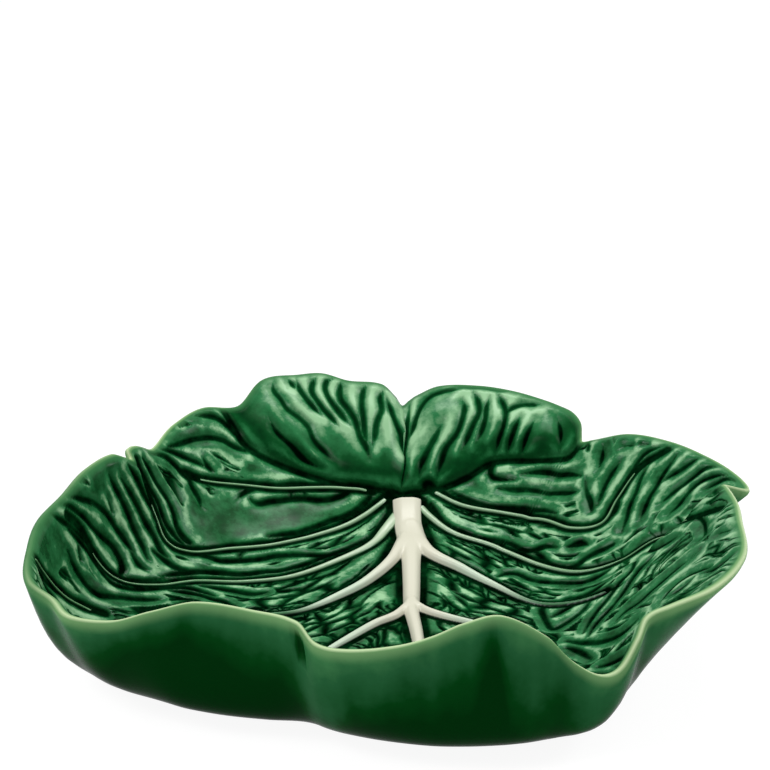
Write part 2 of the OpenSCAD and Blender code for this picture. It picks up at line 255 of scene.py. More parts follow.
RIGHT_WALL_FURROWS = [
    [[586, 480, 1], [587, 492, 1.5], [591, 503, 3], [592, 513, 2]],
    [[603, 446, 1], [602, 458, 2.4], [598, 470, 1]],
    [[620, 462, 1], [613, 472, 1.5], [607, 484, 1.5], [602, 496, 1.5], [598, 506, 1]],
    [[664, 446, 1], [650, 452, 1.2], [640, 460, 1.2], [632, 474, 1.2], [626, 484, 1.2],
     [620, 496, 2], [617, 508, 2.4], [610, 518, 2], [598, 526, 1.5], [580, 529, 1.5],
     [558, 527, 1.5], [540, 526, 1]],
    [[648, 466, 1], [641, 480, 1.2], [636, 492, 1.2], [631, 506, 1.2], [627, 520, 1.2],
     [622, 534, 1]],
    [[676, 456, 1], [666, 471, 1.5], [658, 484, 1.5], [650, 497, 1.5], [645, 508, 2],
     [640, 522, 1]],
    [[700, 458, 1.5], [690, 465, 2], [676, 473, 2], [664, 482, 1]],
    [[718, 466, 1.5], [706, 469, 3], [694, 478, 2], [682, 487, 2], [670, 495, 2], [660, 505, 1]],
    [[730, 474, 1], [714, 477, 1.5], [700, 483, 1.5], [688, 494, 1.5], [678, 506, 1.5],
     [668, 516, 1]],
    [[742, 481, 1], [728, 479, 1.5], [716, 484, 1.5], [704, 491, 1]],
    [[680, 536, 1], [668, 544, 1.2], [655, 551, 1.2], [643, 560, 1.2], [632, 571, 1.2],
     [621, 583, 1.2], [611, 596, 1.2], [601, 608, 1.2], [592, 620, 1.2], [584, 634, 1]],
    [[655, 556, 1], [641, 570, 1.2], [630, 584, 1.2], [620, 598, 1.2], [610, 610, 1.2],
     [599, 622, 1.2], [589, 637, 1]],
    [[606, 592, 1], [615, 589, 1.5], [622, 586, 1]],
    [[712, 568, 1], [700, 572, 2], [688, 577, 2], [678, 585, 2], [668, 595, 2], [660, 604, 1]],
    [[694, 580, 1], [682, 589, 1.2], [670, 598, 1]],
    [[690, 560, 1], [675, 572, 2], [662, 583, 3], [650, 593, 3], [639, 603, 2], [626, 612, 2],
     [616, 622, 1]],
    [[640, 618, 1], [630, 629, 1.5], [618, 637, 1.5], [602, 643, 1.5], [584, 644, 1.5],
     [566, 642, 1]],
    [[568, 649, 2], [580, 653, 2], [592, 660, 2]],
    [[688, 527, 0.6], [697, 518, 1], [705, 524, 1.2], [705, 536, 1.2], [698, 542, 0.6]],
    [[721, 534, 3], [731, 531, 3]],
    [[704, 574, 1], [716, 570, 2], [726, 563, 2], [736, 553, 1]],
    [[624, 446, 3], [632, 446, 3]],
    [[642, 445, 2], [649, 445, 2]]]
FLOOR_FURROWS = [
    [[356, 488, 1], [346, 494, 2], [335, 499, 2.4], [320, 501, 2.4], [300, 500, 2.4],
     [283, 501, 2.4], [270, 503, 2.4], [258, 504, 2], [250, 500, 1]],
    [[325, 486, 1], [300, 485, 2], [277, 486, 2], [257, 488, 2], [245, 493, 2], [238, 499, 1]],
    [[290, 488, 1], [291, 497, 1.5]],
    [[301, 487, 1], [305, 496, 1.5]],
    [[372, 495, 1], [366, 503, 2.4], [358, 510, 3], [345, 517, 3], [330, 522, 3], [315, 528, 3],
     [300, 533, 3], [285, 535, 2], [268, 537, 1]],
    [[350, 524, 1], [335, 532, 1.5], [317, 537, 2], [297, 540, 2], [277, 542, 1.5], [260, 545, 1.5],
     [248, 549, 1.5], [241, 554, 1]],
    [[340, 555, 1], [317, 556, 2], [297, 556, 3], [277, 557, 3], [260, 560, 2.4], [240, 562, 2.4],
     [220, 562, 2], [210, 558, 2], [200, 555, 3], [188, 553, 2]],
    [[241, 551, 1], [240, 561, 1.5]],
    [[370, 537, 1.5], [357, 545, 2], [340, 552, 2], [320, 559, 2], [307, 565, 2], [293, 568, 2],
     [277, 572, 2], [267, 572, 3], [243, 575, 4], [220, 574, 4], [200, 573, 3], [180, 574, 2.4],
     [160, 577, 1]],
    [[170, 592, 1], [183, 593, 1], [200, 596, 1.2], [213, 600, 1.2], [225, 603, 1.2],
     [237, 608, 1]],
    [[200, 587, 1], [220, 590, 1], [240, 593, 3], [253, 595, 3.4], [267, 593, 1]],
    [[430, 504, 3], [440, 520, 3], [450, 528, 3], [464, 534, 3], [480, 539, 2], [496, 541, 1.5],
     [510, 544, 1.5], [522, 550, 2], [534, 551, 2], [546, 547, 2], [558, 548, 1]],
    [[534, 551, 2], [543, 559, 2], [553, 567, 2.4], [565, 569, 3], [577, 567, 3], [585, 560, 2],
     [594, 554, 2], [604, 550, 3], [613, 545, 5]],
    [[498, 578, 1], [507, 574, 1.2], [518, 575, 1.2], [530, 580, 1.2], [546, 583, 1.2],
     [562, 583, 1.2], [582, 583, 1.2], [598, 578, 1.2], [610, 570, 1]],
    [[568, 547, 2], [580, 544, 5], [588, 545, 2]],
    [[522, 474, 1], [540, 473, 3], [556, 475, 3], [570, 475, 3], [582, 477, 2]],
    [[498, 489, 1], [514, 490, 2.4], [530, 491, 2], [550, 494, 2], [570, 494, 2], [578, 492, 1]],
    [[452, 492, 1], [465, 500, 2], [480, 505, 2], [496, 508, 2], [514, 509, 2], [540, 511, 2],
     [556, 514, 1]],
    [[508, 461, 2], [496, 463, 2], [490, 470, 2], [492, 477, 2], [500, 480, 1.5], [515, 480, 1]],
    [[545, 604, 1], [542, 612, 1.5], [546, 622, 1.5], [552, 630, 1.5], [563, 626, 1.5],
     [575, 618, 1.5], [584, 610, 1.2], [590, 602, 1]],
    [[552, 618, 1], [566, 610, 1.2], [580, 603, 1]],
    [[556, 606, 1], [568, 600, 1.2], [582, 597, 1.2], [596, 590, 1.2], [607, 583, 1]]]

# How far down the outside it stays light below the lip, from the pale glaze that ran down and
# from painted light, before the painted shade towards the foot: angle round the leaf in degrees
# and length in millimetres
PALE_RUNS_BEFORE_SHADE = np.array([
    [0, 40], [30, 34], [70, 26], [110, 30], [150, 38], [180, 46], [199, 50], [212, 30],
    [223, 14], [232, 12], [240, 18], [247, 24], [252, 30], [255, 60], [259, 56], [263, 30],
    [270, 24], [277, 27], [282, 30], [284, 18], [285.5, 12], [287.5, 38], [291, 46], [296, 28],
    [300, 34], [310, 30], [322, 40], [338, 48]], float)
# The short slit below the lip at the front: angle and half width in degrees, lean in
# degrees a millimetre, the distances from the lip's crest between which it lies, the
# lengths over which it sinks in at its top and comes out at its foot, and its depth
SLIT_ANGLE = 252.6
SLIT_HALF = 0.8
SLIT_LEAN = 0.07
SLIT_FROM = 3.0
SLIT_TO = 23.0
SLIT_TOP = 2.0
SLIT_FOOT = 9.0
SLIT_DEPTH = 2.2

# How far the two lobes bulge, and the distances from the crease and from the lip over
# which the bulge comes up
LOBE_BULGE = 4.5
BULGE_RISE = 14.0
BULGE_LIP_GAP = 6.0
BULGE_LIP_RISE = 22.0

# The folds of the front wall, between two angles round the leaf in degrees
FRONT_FOLDS = 25
FRONT_FROM = 209.0
FRONT_TO = 326.0

# Broad bands of the leaf with no cells: photo place and width in millimetres
PLAIN_BANDS = [
    [[205, 522, 20], [250, 520, 30], [300, 518, 30], [335, 508, 18]],
    [[452, 478, 16], [475, 488, 20], [500, 496, 10]],
    [[510, 469, 10], [575, 467, 10]],
    [[40, 545, 24], [62, 530, 16]],
    [[100, 468, 26], [118, 466, 30]],
    [[640, 600, 10], [690, 560, 14]],
    [[258, 470, 10], [320, 475, 14], [345, 485, 8]]]
# The width of the bands' soft edges, and how far from a furrow there are no cells on
# the floor and how much further up the walls
BAND_EDGE = 8.0
PLAIN_BESIDE = 5.0
MORE_PLAIN_ON_WALL = 2.0

# Where the walls begin, as a length along the clay, and the length over which they do
WALL_FROM = 118.0
WALL_OVER = 40.0
# The soft edges of the lobes at the crease and of the leaf's face at the lip
LOBE_EDGE = 6.0
FACE_EDGE = 5.0
# Between two lines this far apart in all the skin puffs up fully, and where they are
# closer it comes up less, but for this share
FULL_PUFF_GAP = 8.0
LEAST_PUFF = 0.35
# The gaps between lines that count as narrow ridges, with their soft limits
RIDGE_FROM = 2.5
RIDGE_RISE = 4.0
RIDGE_TO = 20.0
RIDGE_OVER = 11.0

# The crease below the lobes, from left to right
CREASE = [[-108, 176], [-98, 163], [-88, 152], [-64, 143], [-42, 136], [-22, 130], [0, 128],
          [11, 128], [26, 129], [42, 136], [60, 145], [84, 141], [104, 138], [114, 146]]
# Lines that the grain of the leaf follows, each with its number of cells from the
# trunk: left of the trunk above zero, right of it below
GRAIN_LEFT = [
    (0, [[9, 14], [11, -23], [13, -60], [14, -165]]),
    (3, [[9, 14], [-10, -13], [-35, -48], [-60, -82], [-105, -150]]),
    (8, [[6, 84], [-14, 38], [-50, 5], [-84, -1], [-125, -10], [-168, -27], [-212, -68]]),
    (13, [row[:2] for row in GREEN_VEINS[0]]),
    (17, [row[:2] for row in GREEN_VEINS[2]]),
    (21, [[-12, 128], [-62, 128], [-127, 117], [-165, 103]]),
    (24, [[0, 128], [-22, 130], [-64, 143], [-88, 152], [-108, 176]])]
GRAIN_RIGHT = [
    (0, [[9, 14], [11, -23], [13, -60], [14, -165]]),
    (-4, [[9, 14], [30, -6], [54, -20], [85, -45], [140, -110]]),
    (-9, [[10, 90], [36, 47], [76, 15], [116, 7], [165, 6], [199, -32]]),
    (-13, [row[:2] for row in GREEN_VEINS[1]]),
    (-17, [row[:2] for row in GREEN_VEINS[3]]),
    (-20, [[18, 127], [50, 120], [92, 112], [130, 120]]),
    (-22, [[11, 128], [42, 136], [84, 141], [114, 146]])]
# The trunk's middle line, top and fork, as leaf places
TRUNK_MIDDLE = 9.0
TRUNK_TOP = 118.0
TRUNK_FORK = 20.0

# Cells met on the way out from the trunk: distance in millimetres and their number.
# They are short on the floor and long up the walls.
CELLS_OUT = [[0, 0], [90, 5.6], [120, 6.8], [150, 7.5], [260, 9.4]]

# The camera of the photograph, in metres, and its picture's width in dots
CAMERA_PLACE = (-0.005, -1.0456, 0.50775)
CAMERA_TILT = 70.673
CAMERA_LENS = 99.76
SENSOR_WIDTH = 36.0
PHOTO_WIDTH = 770.0

# Rings of the leaf's inside, steps down its outside, and steps round its lip
RINGS = 138
OUTSIDE_STEPS = 17
LIP_STEPS = 4


def smooth(share):
    """A share from 0 to 1 that starts and ends gently: three squares less two cubes."""
    s = np.clip(share, 0, 1)
    return s * s * (3 - 2 * s)


def along(table, angle):
    """A periodic cubic through a table's rows: each span leaves and arrives with the
    slope of the line between the rows before and after it."""
    turned = np.mod(angle, 360.0)
    turn = np.array([360, 0, 0])
    rows = np.concatenate([table[-2:] - turn, table, table[:2] + turn])
    i = np.searchsorted(table[:, 0], turned, side="right") + 1
    before, here, after, later = rows[i - 1], rows[i], rows[i + 1], rows[i + 2]
    span = (after - here)[..., :1]
    s = (turned[..., None] - here[..., :1]) / span
    leave = (after - before) * span / (after - before)[..., :1]
    arrive = (later - here) * span / (later - here)[..., :1]
    return (here * (2 * s**3 - 3 * s**2 + 1) + leave * (s**3 - 2 * s**2 + s)
            + after * (3 * s**2 - 2 * s**3) + arrive * (s**3 - s**2))


def heel(x, y):
    """The floor's swelling: its height times two gentle humps, one each way."""
    length = (y / (OVAL_D / 2) - HEEL_MIDDLE_SHARE) / HEEL_LENGTH_SHARE
    width = x / (OVAL_W / 2) / HEEL_WIDTH_SHARE
    return HEEL_H * smooth(1 - abs(length)) * smooth(1 - abs(width))


def wall_guides(angle):
    """Four guide points, distance out and height, of the wall's outside at each angle,
    and the way out as a flat direction."""
    turn_rad = np.radians(angle)
    oval = np.stack([OVAL_W / 2 * np.cos(turn_rad), OVAL_D / 2 * np.sin(turn_rad)], -1)
    reach = np.linalg.norm(oval, axis=-1)
    rim = along(RIM_SHARES, angle)
    turn = along(TURN_SHARES, angle)
    low = np.full_like(reach, FOOT_H)
    start = np.stack([np.full_like(reach, FLAT_R), low], -1)
    corner = np.stack([FLAT_R + (reach - FLAT_R) * turn[..., 1], low], -1)
    end = np.stack([rim[..., 1] * reach, rim[..., 2] * RIM_H - LIP_T / 2], -1)
    tight = turn[..., 2:3]
    guides = [start, start + (corner - start) * tight, end + (corner - end) * tight, end]
    return np.stack(guides, -2), oval / reach[..., None]


def bend(guides, t):
    """The curve of four guide points, weighted by the terms of (1 - t + t) cubed."""
    t = t[..., None]
    a, b, c, d = (guides[..., k, :] for k in range(4))
    return (1 - t) ** 3 * a + 3 * t * (1 - t) ** 2 * b + 3 * t**2 * (1 - t) * c + t**3 * d


def heading(guides, t):
    """The direction of that curve, as a unit vector."""
    t = t[..., None]
    a, b, c, d = (guides[..., k, :] for k in range(4))
    v = (1 - t) ** 2 * (b - a) + 2 * t * (1 - t) * (c - b) + t**2 * (d - c)
    return v / np.linalg.norm(v, axis=-1, keepdims=True)


def clay(t):
    """The thickness of the clay from the floor's edge to the lip."""
    body = FLOOR_T + (WALL_T - FLOOR_T) * smooth(2 * t)
    return body + (LIP_T - body) * smooth(2 * t - 1)


# The inside's table: even angles round the leaf, and even shares of the way out
ANGLES = 1440
SHARES = 400


def inside_table():
    """The leaf's inside, sampled at even angles and even shares of the way from the
    middle to the lip: rows of x, y, height and length along the clay. The length is the
    running sum of short chords, and one running number for all the rows together
    lets a single look-up space every row evenly."""
    angle = np.arange(ANGLES) * 360.0 / ANGLES
    guides, way = wall_guides(angle)
    t = np.linspace(0, 1, 241)[None].repeat(ANGLES, 0)
    head = heading(guides[:, None], t)
    square = np.stack([-head[..., 1], head[..., 0]], -1)
    wall = bend(guides[:, None], t) + clay(t)[..., None] * square
    flat = np.linspace(0, FLAT_R, 61)[None, :-1].repeat(ANGLES, 0)
    out = np.concatenate([flat, wall[..., 0]], 1)
    height = np.concatenate([np.full_like(flat, FOOT_H + FLOOR_T), wall[..., 1]], 1)
    fade = np.concatenate([np.ones_like(flat), 1 - smooth(t)], 1)
    x = way[:, :1] * out
    y = way[:, 1:] * out
    z = height + heel(x, y) * fade
    steps = np.hypot(np.diff(out, axis=1), np.diff(height, axis=1))
    length = np.concatenate([np.zeros((ANGLES, 1)), np.cumsum(steps, 1)], 1)
    whole = length[:, -1:]
    row = np.arange(ANGLES)[:, None] * 2.0
    wanted = (np.linspace(0, 1, SHARES + 1)[None] + row).ravel()
    known = (length / whole + row).ravel()
    columns = [np.interp(wanted, known, v.ravel()) for v in (x, y, z, length)]
    return np.stack(columns, -1).reshape(ANGLES, SHARES + 1, 4)


INSIDE = inside_table()


def inside_at(angle, share):
    """The inside at any angle and share: x, y, height and length, drawn straight
    between the table's four nearest rows."""
    a = np.mod(angle, 360) * ANGLES / 360
    i = np.floor(a).astype(int) % ANGLES
    j = (i + 1) % ANGLES
    fa = (a - np.floor(a))[..., None]
    b = np.clip(share, 0, 1) * SHARES
    k = np.minimum(np.floor(b).astype(int), SHARES - 1)
    fb = (b - k)[..., None]
    near = INSIDE[i, k] * (1 - fa) + INSIDE[j, k] * fa
    far = INSIDE[i, k + 1] * (1 - fa) + INSIDE[j, k + 1] * fa
    return near * (1 - fb) + far * fb


def whole_length(angle):
    """The length along the clay from the middle to the lip at an angle."""
    turned = np.mod(angle, 360)
    full = np.append(INSIDE[:, -1, 3], INSIDE[0, -1, 3])
    return np.interp(turned, np.linspace(0, 360, ANGLES + 1), full)


def on_leaf(p, q):
    """The leaf's inside at leaf places p, q: points in millimetres."""
    angle = np.degrees(np.arctan2(q, p))
    return inside_at(angle, np.hypot(p, q) / whole_length(angle))[..., :3]


def seen_in_photo():
    """Where the camera sees each row of the inside's table: photo place across and
    down, distance from the camera, and whether the clay faces the camera there."""
    tilt = math.radians(CAMERA_TILT)
    ahead = np.array([0, math.sin(tilt), -math.cos(tilt)])
    up = np.array([0, math.cos(tilt), math.sin(tilt)])
    table = INSIDE[::2, 4:, :3]
    from_camera = table - np.array(CAMERA_PLACE) / MM
    deep = from_camera @ ahead
    scale = PHOTO_WIDTH * CAMERA_LENS / SENSOR_WIDTH / deep
    across = PHOTO_WIDTH / 2 + scale * from_camera[..., 0]
    down = PHOTO_WIDTH / 2 - scale * (from_camera @ up)
    normal = np.cross(np.gradient(table, axis=1), np.gradient(table, axis=0))
    facing = (normal * from_camera).sum(-1) * np.sign(normal[len(table) // 4, 50, 2]) < 0
    return across, down, deep, facing


def leaf_places(lines):
    """Lines of photo places turned to leaf places: each point goes to the nearest place
    that the camera sees, and of those within a dot and a half to the one in front."""
    across, down, deep, facing = seen_in_photo()
    angle = np.arange(0, ANGLES, 2) * 2 * math.pi / ANGLES
    length = INSIDE[::2, 4:, 3]
    placed = []
    for rows in lines:
        line = []
        for x, y, *rest in rows:
            away = np.hypot(across - x, down - y) + np.where(facing, 0, 40)
            cost = np.where(away < 1.5, away + (deep - deep.min()) * 0.03, 50 + away)
            i, j = np.unravel_index(cost.argmin(), cost.shape)
            line.append([length[i, j] * math.cos(angle[i]), length[i, j] * math.sin(angle[i]),
                         *rest])
        placed.append(line)
    return placed


def square_to_leaf(p, q, reach=1.0):
    """The direction square to the leaf's inside: the cross product of two short chords
    through the place, one along p and one along q."""
    along_p = on_leaf(p + reach, q) - on_leaf(p - reach, q)
    along_q = on_leaf(p, q + reach) - on_leaf(p, q - reach)
    n = np.cross(along_p, along_q)
    return n / np.linalg.norm(n, axis=-1, keepdims=True)


def drawn(rows, step=2.0):
    """A smooth line through rows of numbers, with a row every couple of millimetres:
    each span is a cubic that leaves and arrives with half the chord of its neighbours."""
    rows = np.array(rows, float)
    ends = np.concatenate([rows[:1], rows, rows[-1:]])
    parts = []
    for i in range(len(rows) - 1):
        before, here, after, later = ends[i], ends[i + 1], ends[i + 2], ends[i + 3]
        count = max(2, int(np.linalg.norm((after - here)[:2]) / step))
        s = (np.arange(count) / count)[:, None]
        leave = (after - before) / 2
        arrive = (later - here) / 2
        parts.append(here * (2 * s**3 - 3 * s**2 + 1) + leave * (s**3 - 2 * s**2 + s)
                     + after * (3 * s**2 - 2 * s**3) + arrive * (s**3 - s**2))
    return np.concatenate(parts + [rows[-1:]])


def distance_to(line, p, q, share=0.5):
    """How far each place is from a drawn line, less a share of the line's width: the
    least over its short straight pieces of the distance to the nearest point."""
    start, end = line[:-1], line[1:]
    run = end[:, :2] - start[:, :2]
    size = np.maximum((run**2).sum(1), 1e-9)
    dp = p[:, None] - start[None, :, 0]
    dq = q[:, None] - start[None, :, 1]
    s = np.clip((dp * run[:, 0] + dq * run[:, 1]) / size, 0, 1)
    away = np.hypot(dp - s * run[:, 0], dq - s * run[:, 1])
    if line.shape[1] > 2:
        away = away - (start[:, 2] + s * (end[:, 2] - start[:, 2])) * share
    return away.min(1)


def nearest_two(lines, p, q, far, share=0.5):
    """The least and the second least distance from each place to the lines, no more than
    far. Only places in a line's box, grown by far, are measured."""
    least = np.full(p.shape, float(far))
    second = least.copy()
    for rows in lines:
        line = drawn(rows)
        low = line[:, :2].min(0) - far - 8
        high = line[:, :2].max(0) + far + 8
        near = (p > low[0]) & (p < high[0]) & (q > low[1]) & (q < high[1])
        if near.any():
            away = distance_to(line, p[near], q[near], share)
            second[near] = np.minimum(second[near], np.maximum(least[near], away))
            least[near] = np.minimum(least[near], away)
    return least, second


def nearest(lines, p, q, far, share=0.5):
    """The least distance from each place to any of the lines, no more than far."""
    return nearest_two(lines, p, q, far, share)[0]


def new_mesh(name, points, triangles, smooth_faces=True):
    """A mesh object from points in millimetres and rows of three indices."""
    mesh = bpy.data.meshes.new(name)
    mesh.vertices.add(len(points))
    mesh.vertices.foreach_set("co", (points * MM).astype(np.float32).ravel())
    mesh.loops.add(len(triangles) * 3)
    mesh.loops.foreach_set("vertex_index", triangles.astype(np.int32).ravel())
    mesh.polygons.add(len(triangles))
    mesh.polygons.foreach_set("loop_start", np.arange(len(triangles), dtype=np.int32) * 3)
    mesh.polygons.foreach_set("use_smooth", np.full(len(triangles), smooth_faces))
    mesh.update(calc_edges=True)
    mesh.validate()
    piece = bpy.data.objects.new(name, mesh)
    bpy.context.scene.collection.objects.link(piece)
    return piece


# The spacing of the net on which the grain is worked out, in millimetres
GRAIN_STEP = 4.0


def grain_field(lines, p, q):
    """The number of cells from the trunk at each leaf place, and the width of a cell
    there in millimetres. On a net of places the number is the mean of the lines'
    numbers, each weighted by one over its distance squared; a cell's width is one over
    the slope of that number; and both are drawn straight between the net's places."""
    net = np.arange(-260, 261, GRAIN_STEP)
    net_p, net_q = np.meshgrid(net, net, indexing="ij")
    top = np.zeros(net_p.size)
    below = np.zeros(net_p.size)
    for number, rows in lines:
        away = distance_to(drawn(rows, 4.0), net_p.ravel(), net_q.ravel())
        weight = 1 / (away**2 + 1)
        top += weight * number
        below += weight
    number = (top / below).reshape(net_p.shape)
    slope_p, slope_q = np.gradient(number, GRAIN_STEP)
    width = np.clip(1 / np.maximum(np.hypot(slope_p, slope_q), 0.02), 1.5, 40)
    a = (p - net[0]) / GRAIN_STEP
    b = (q - net[0]) / GRAIN_STEP
    i, j = np.floor(a).astype(int), np.floor(b).astype(int)
    fa, fb = a - i, b - j
    return [(v[i, j] * (1 - fa) + v[i + 1, j] * fa) * (1 - fb)
            + (v[i, j + 1] * (1 - fa) + v[i + 1, j + 1] * fa) * fb for v in (number, width)]


def grain_of(p, q):
    """The leaf's grain: distance from the upper trunk, number of cells from the trunk,
    and the width of a cell, each side of the trunk from its own lines."""
    trunk = drawn(TRUNK)
    order = np.argsort(trunk[:, 1])
    middle = np.interp(q, trunk[order, 1], trunk[order, 0])
    left = grain_field(GRAIN_LEFT, p, q)
    right = grain_field(GRAIN_RIGHT, p, q)
    number, width = (np.where(p < middle, a, b) for a, b in zip(left, right))
    out = np.hypot(p - middle, q - np.clip(q, TRUNK_FORK, TRUNK_TOP))
    cells = np.interp(out, *np.transpose(CELLS_OUT))
    return np.stack([cells, number, width], 1)


def front_folds():
    """Folds of the front wall, which the photograph hides: lines at about even angles
    from the floor to below the lip, where the foot, the top and the sway of each follow
    sines of its number, so that no two neighbours are alike."""
    lines = []
    for k in range(FRONT_FOLDS):
        foot = 0.60 + 0.07 * math.sin(1.7 * k)
        top = 0.92 + 0.05 * math.cos(2.9 * k)
        share = np.linspace(foot, top, 7)
        angle = FRONT_FROM + (FRONT_TO - FRONT_FROM) * k / (FRONT_FOLDS - 1)
        angle = angle + 2.5 * np.sin(8 * share + 1.3 * k) + 1.4 * math.sin(2.3 * k)
        length = share * whole_length(angle)
        width = 1.4 + math.sin(1.1 * k) + 0 * share
        turn = np.radians(angle)
        lines.append(np.stack([length * np.cos(turn), length * np.sin(turn), width], 1))
    return lines


def tapered(lines, share, less):
    """The lines with a share of their widths, and at both ends a width that much less,
    below zero too, so that a furrow grows shallow there."""
    changed = []
    for rows in lines:
        line = np.array(rows)
        line[:, 2] *= share
        line[[0, -1], 2] -= less
        changed.append(line)
    return changed


def put(piece, name, values):
    """Stores one number, or one row of three, for each point of a piece."""
    kind = "FLOAT" if values.ndim == 1 else "FLOAT_VECTOR"
    field = "value" if values.ndim == 1 else "vector"
    attribute = piece.data.attributes.new(name, kind, "POINT")
    attribute.data.foreach_set(field, values.astype(np.float32).ravel())


def between_rings(a, b):
    """Triangles between two closed rings of as many points, from the earlier ring a to
    the later ring b."""
    a2, b2 = np.roll(a, -1), np.roll(b, -1)
    return np.concatenate([np.stack([a, b, b2], 1), np.stack([a, b2, a2], 1)])


def halving_rings(a, b):
    """Triangles between a closed ring a and a ring b of half as many points."""
    even, odd = a[0::2], a[1::2]
    b2 = np.roll(b, -1)
    return np.concatenate([
        np.stack([even, b, odd], 1), np.stack([odd, b, b2], 1),
        np.stack([odd, b2, np.roll(even, -1)], 1)])


def leaf_mesh():
    """The whole leaf. Its inside is a square net of cells drawn out into rings, where
    ring k has 8 k points at even angles; then come the half circle of the lip, a ring
    with every other point, and the rings of the outside down to the flat base. Each
    point stores its leaf place as flow, and as lip its distance along the clay from the
    lip's crest, which is below zero on the inside."""
    n = RINGS
    i, j = np.meshgrid(np.arange(-n, n + 1), np.arange(-n, n + 1), indexing="ij")
    ring = np.maximum(abs(i), abs(j))
    safe = np.maximum(ring, 1)
    angle = np.where(i == ring, 45 * j / safe,
                     np.where(j == ring, 90 - 45 * i / safe,
                              np.where(i == -ring, 180 - 45 * j / safe, 270 + 45 * i / safe)))
    found = inside_at(angle, ring / n)
    points = [found[..., :3].reshape(-1, 3)]
    length = found[..., 3].ravel()
    flat_angle = angle.ravel()
    flow = np.stack([length * np.cos(np.radians(flat_angle)),
                     length * np.sin(np.radians(flat_angle)), np.zeros_like(length)], 1)
    lip = -(whole_length(flat_angle) - length) - math.pi * LIP_T / 4
    side = 2 * n + 1
    cell_i, cell_j = np.meshgrid(np.arange(2 * n), np.arange(2 * n), indexing="ij")
    v00 = (cell_i * side + cell_j).ravel()
    v10, v01, v11 = v00 + side, v00 + 1, v00 + side + 1
    along_one = ((cell_i - n + 0.5) * (cell_j - n + 0.5) > 0).ravel()[:, None]
    first = np.where(along_one, np.stack([v00, v10, v11], 1), np.stack([v00, v10, v01], 1))
    second = np.where(along_one, np.stack([v00, v11, v01], 1), np.stack([v10, v11, v01], 1))
    faces = [first, second]

    m = np.arange(8 * n)
    quarter = (m + n) // (2 * n) % 4
    offset = (m + n) % (2 * n) - n
    rim_i = np.choose(quarter, [n + 0 * m, -offset, -n + 0 * m, offset])
    rim_j = np.choose(quarter, [offset, n + 0 * m, -offset, -n + 0 * m])
    earlier = (rim_i + n) * side + rim_j + n
    rim_angle = m * 360.0 / (8 * n)
    flows, lips = [flow], [lip]
    count = side * side

    def add_ring(ring_angle, out, height, way, from_lip):
        """Adds one ring of points and says which they are."""
        nonlocal count
        points.append(np.concatenate([way * out[:, None], height[:, None]], 1))
        reach = whole_length(ring_angle)
        flows.append(np.stack([reach * np.cos(np.radians(ring_angle)),
                               reach * np.sin(np.radians(ring_angle)), from_lip], 1))
        lips.append(from_lip)
        ring_points = np.arange(count, count + len(ring_angle))
        count += len(ring_angle)
        return ring_points

    guides, way = wall_guides(rim_angle)
    head = heading(guides, np.ones(8 * n))
    inward = np.stack([-head[:, 1], head[:, 0]], 1)
    for step in range(1, LIP_STEPS + 1):
        turn = math.pi * step / LIP_STEPS
        at = guides[:, 3] + LIP_T / 2 * (inward * (1 + math.cos(turn)) + head * math.sin(turn))
        from_lip = np.full(8 * n, LIP_T / 2 * (turn - math.pi / 2))
        later = add_ring(rim_angle, at[:, 0], at[:, 1], way, from_lip)
        faces.append(between_rings(earlier, later))
        earlier = later

    half = slice(None, None, 2)
    down = math.pi * LIP_T / 4
    last = guides[half, 3]
    for step in range(1, OUTSIDE_STEPS + 1):
        t = np.full(4 * n, 1 - step / OUTSIDE_STEPS)
        at = bend(guides[half], t)
        down = down + np.linalg.norm(at - last, axis=1)
        last = at
        later = add_ring(rim_angle[half], at[:, 0], at[:, 1], way[half], down)
        faces.append((halving_rings if step == 1 else between_rings)(earlier, later))
        earlier = later
    points.append(np.array([[0, 0, FOOT_H]]))
    flows.append(np.array([[0, 0, 300.0]]))
    lips.append(np.array([300.0]))
    middle = np.full(len(earlier), count)
    faces.append(np.stack([earlier, middle, np.roll(earlier, -1)], 1))

    leaf = new_mesh("cabbage_leaf", np.concatenate(points), np.concatenate(faces))
    flow, lip = np.concatenate(flows), np.concatenate(lips)
    put(leaf, "flow", flow)
    put(leaf, "lip", lip)
    mark_leaf(leaf, flow[:, 0], flow[:, 1], lip)
    return leaf


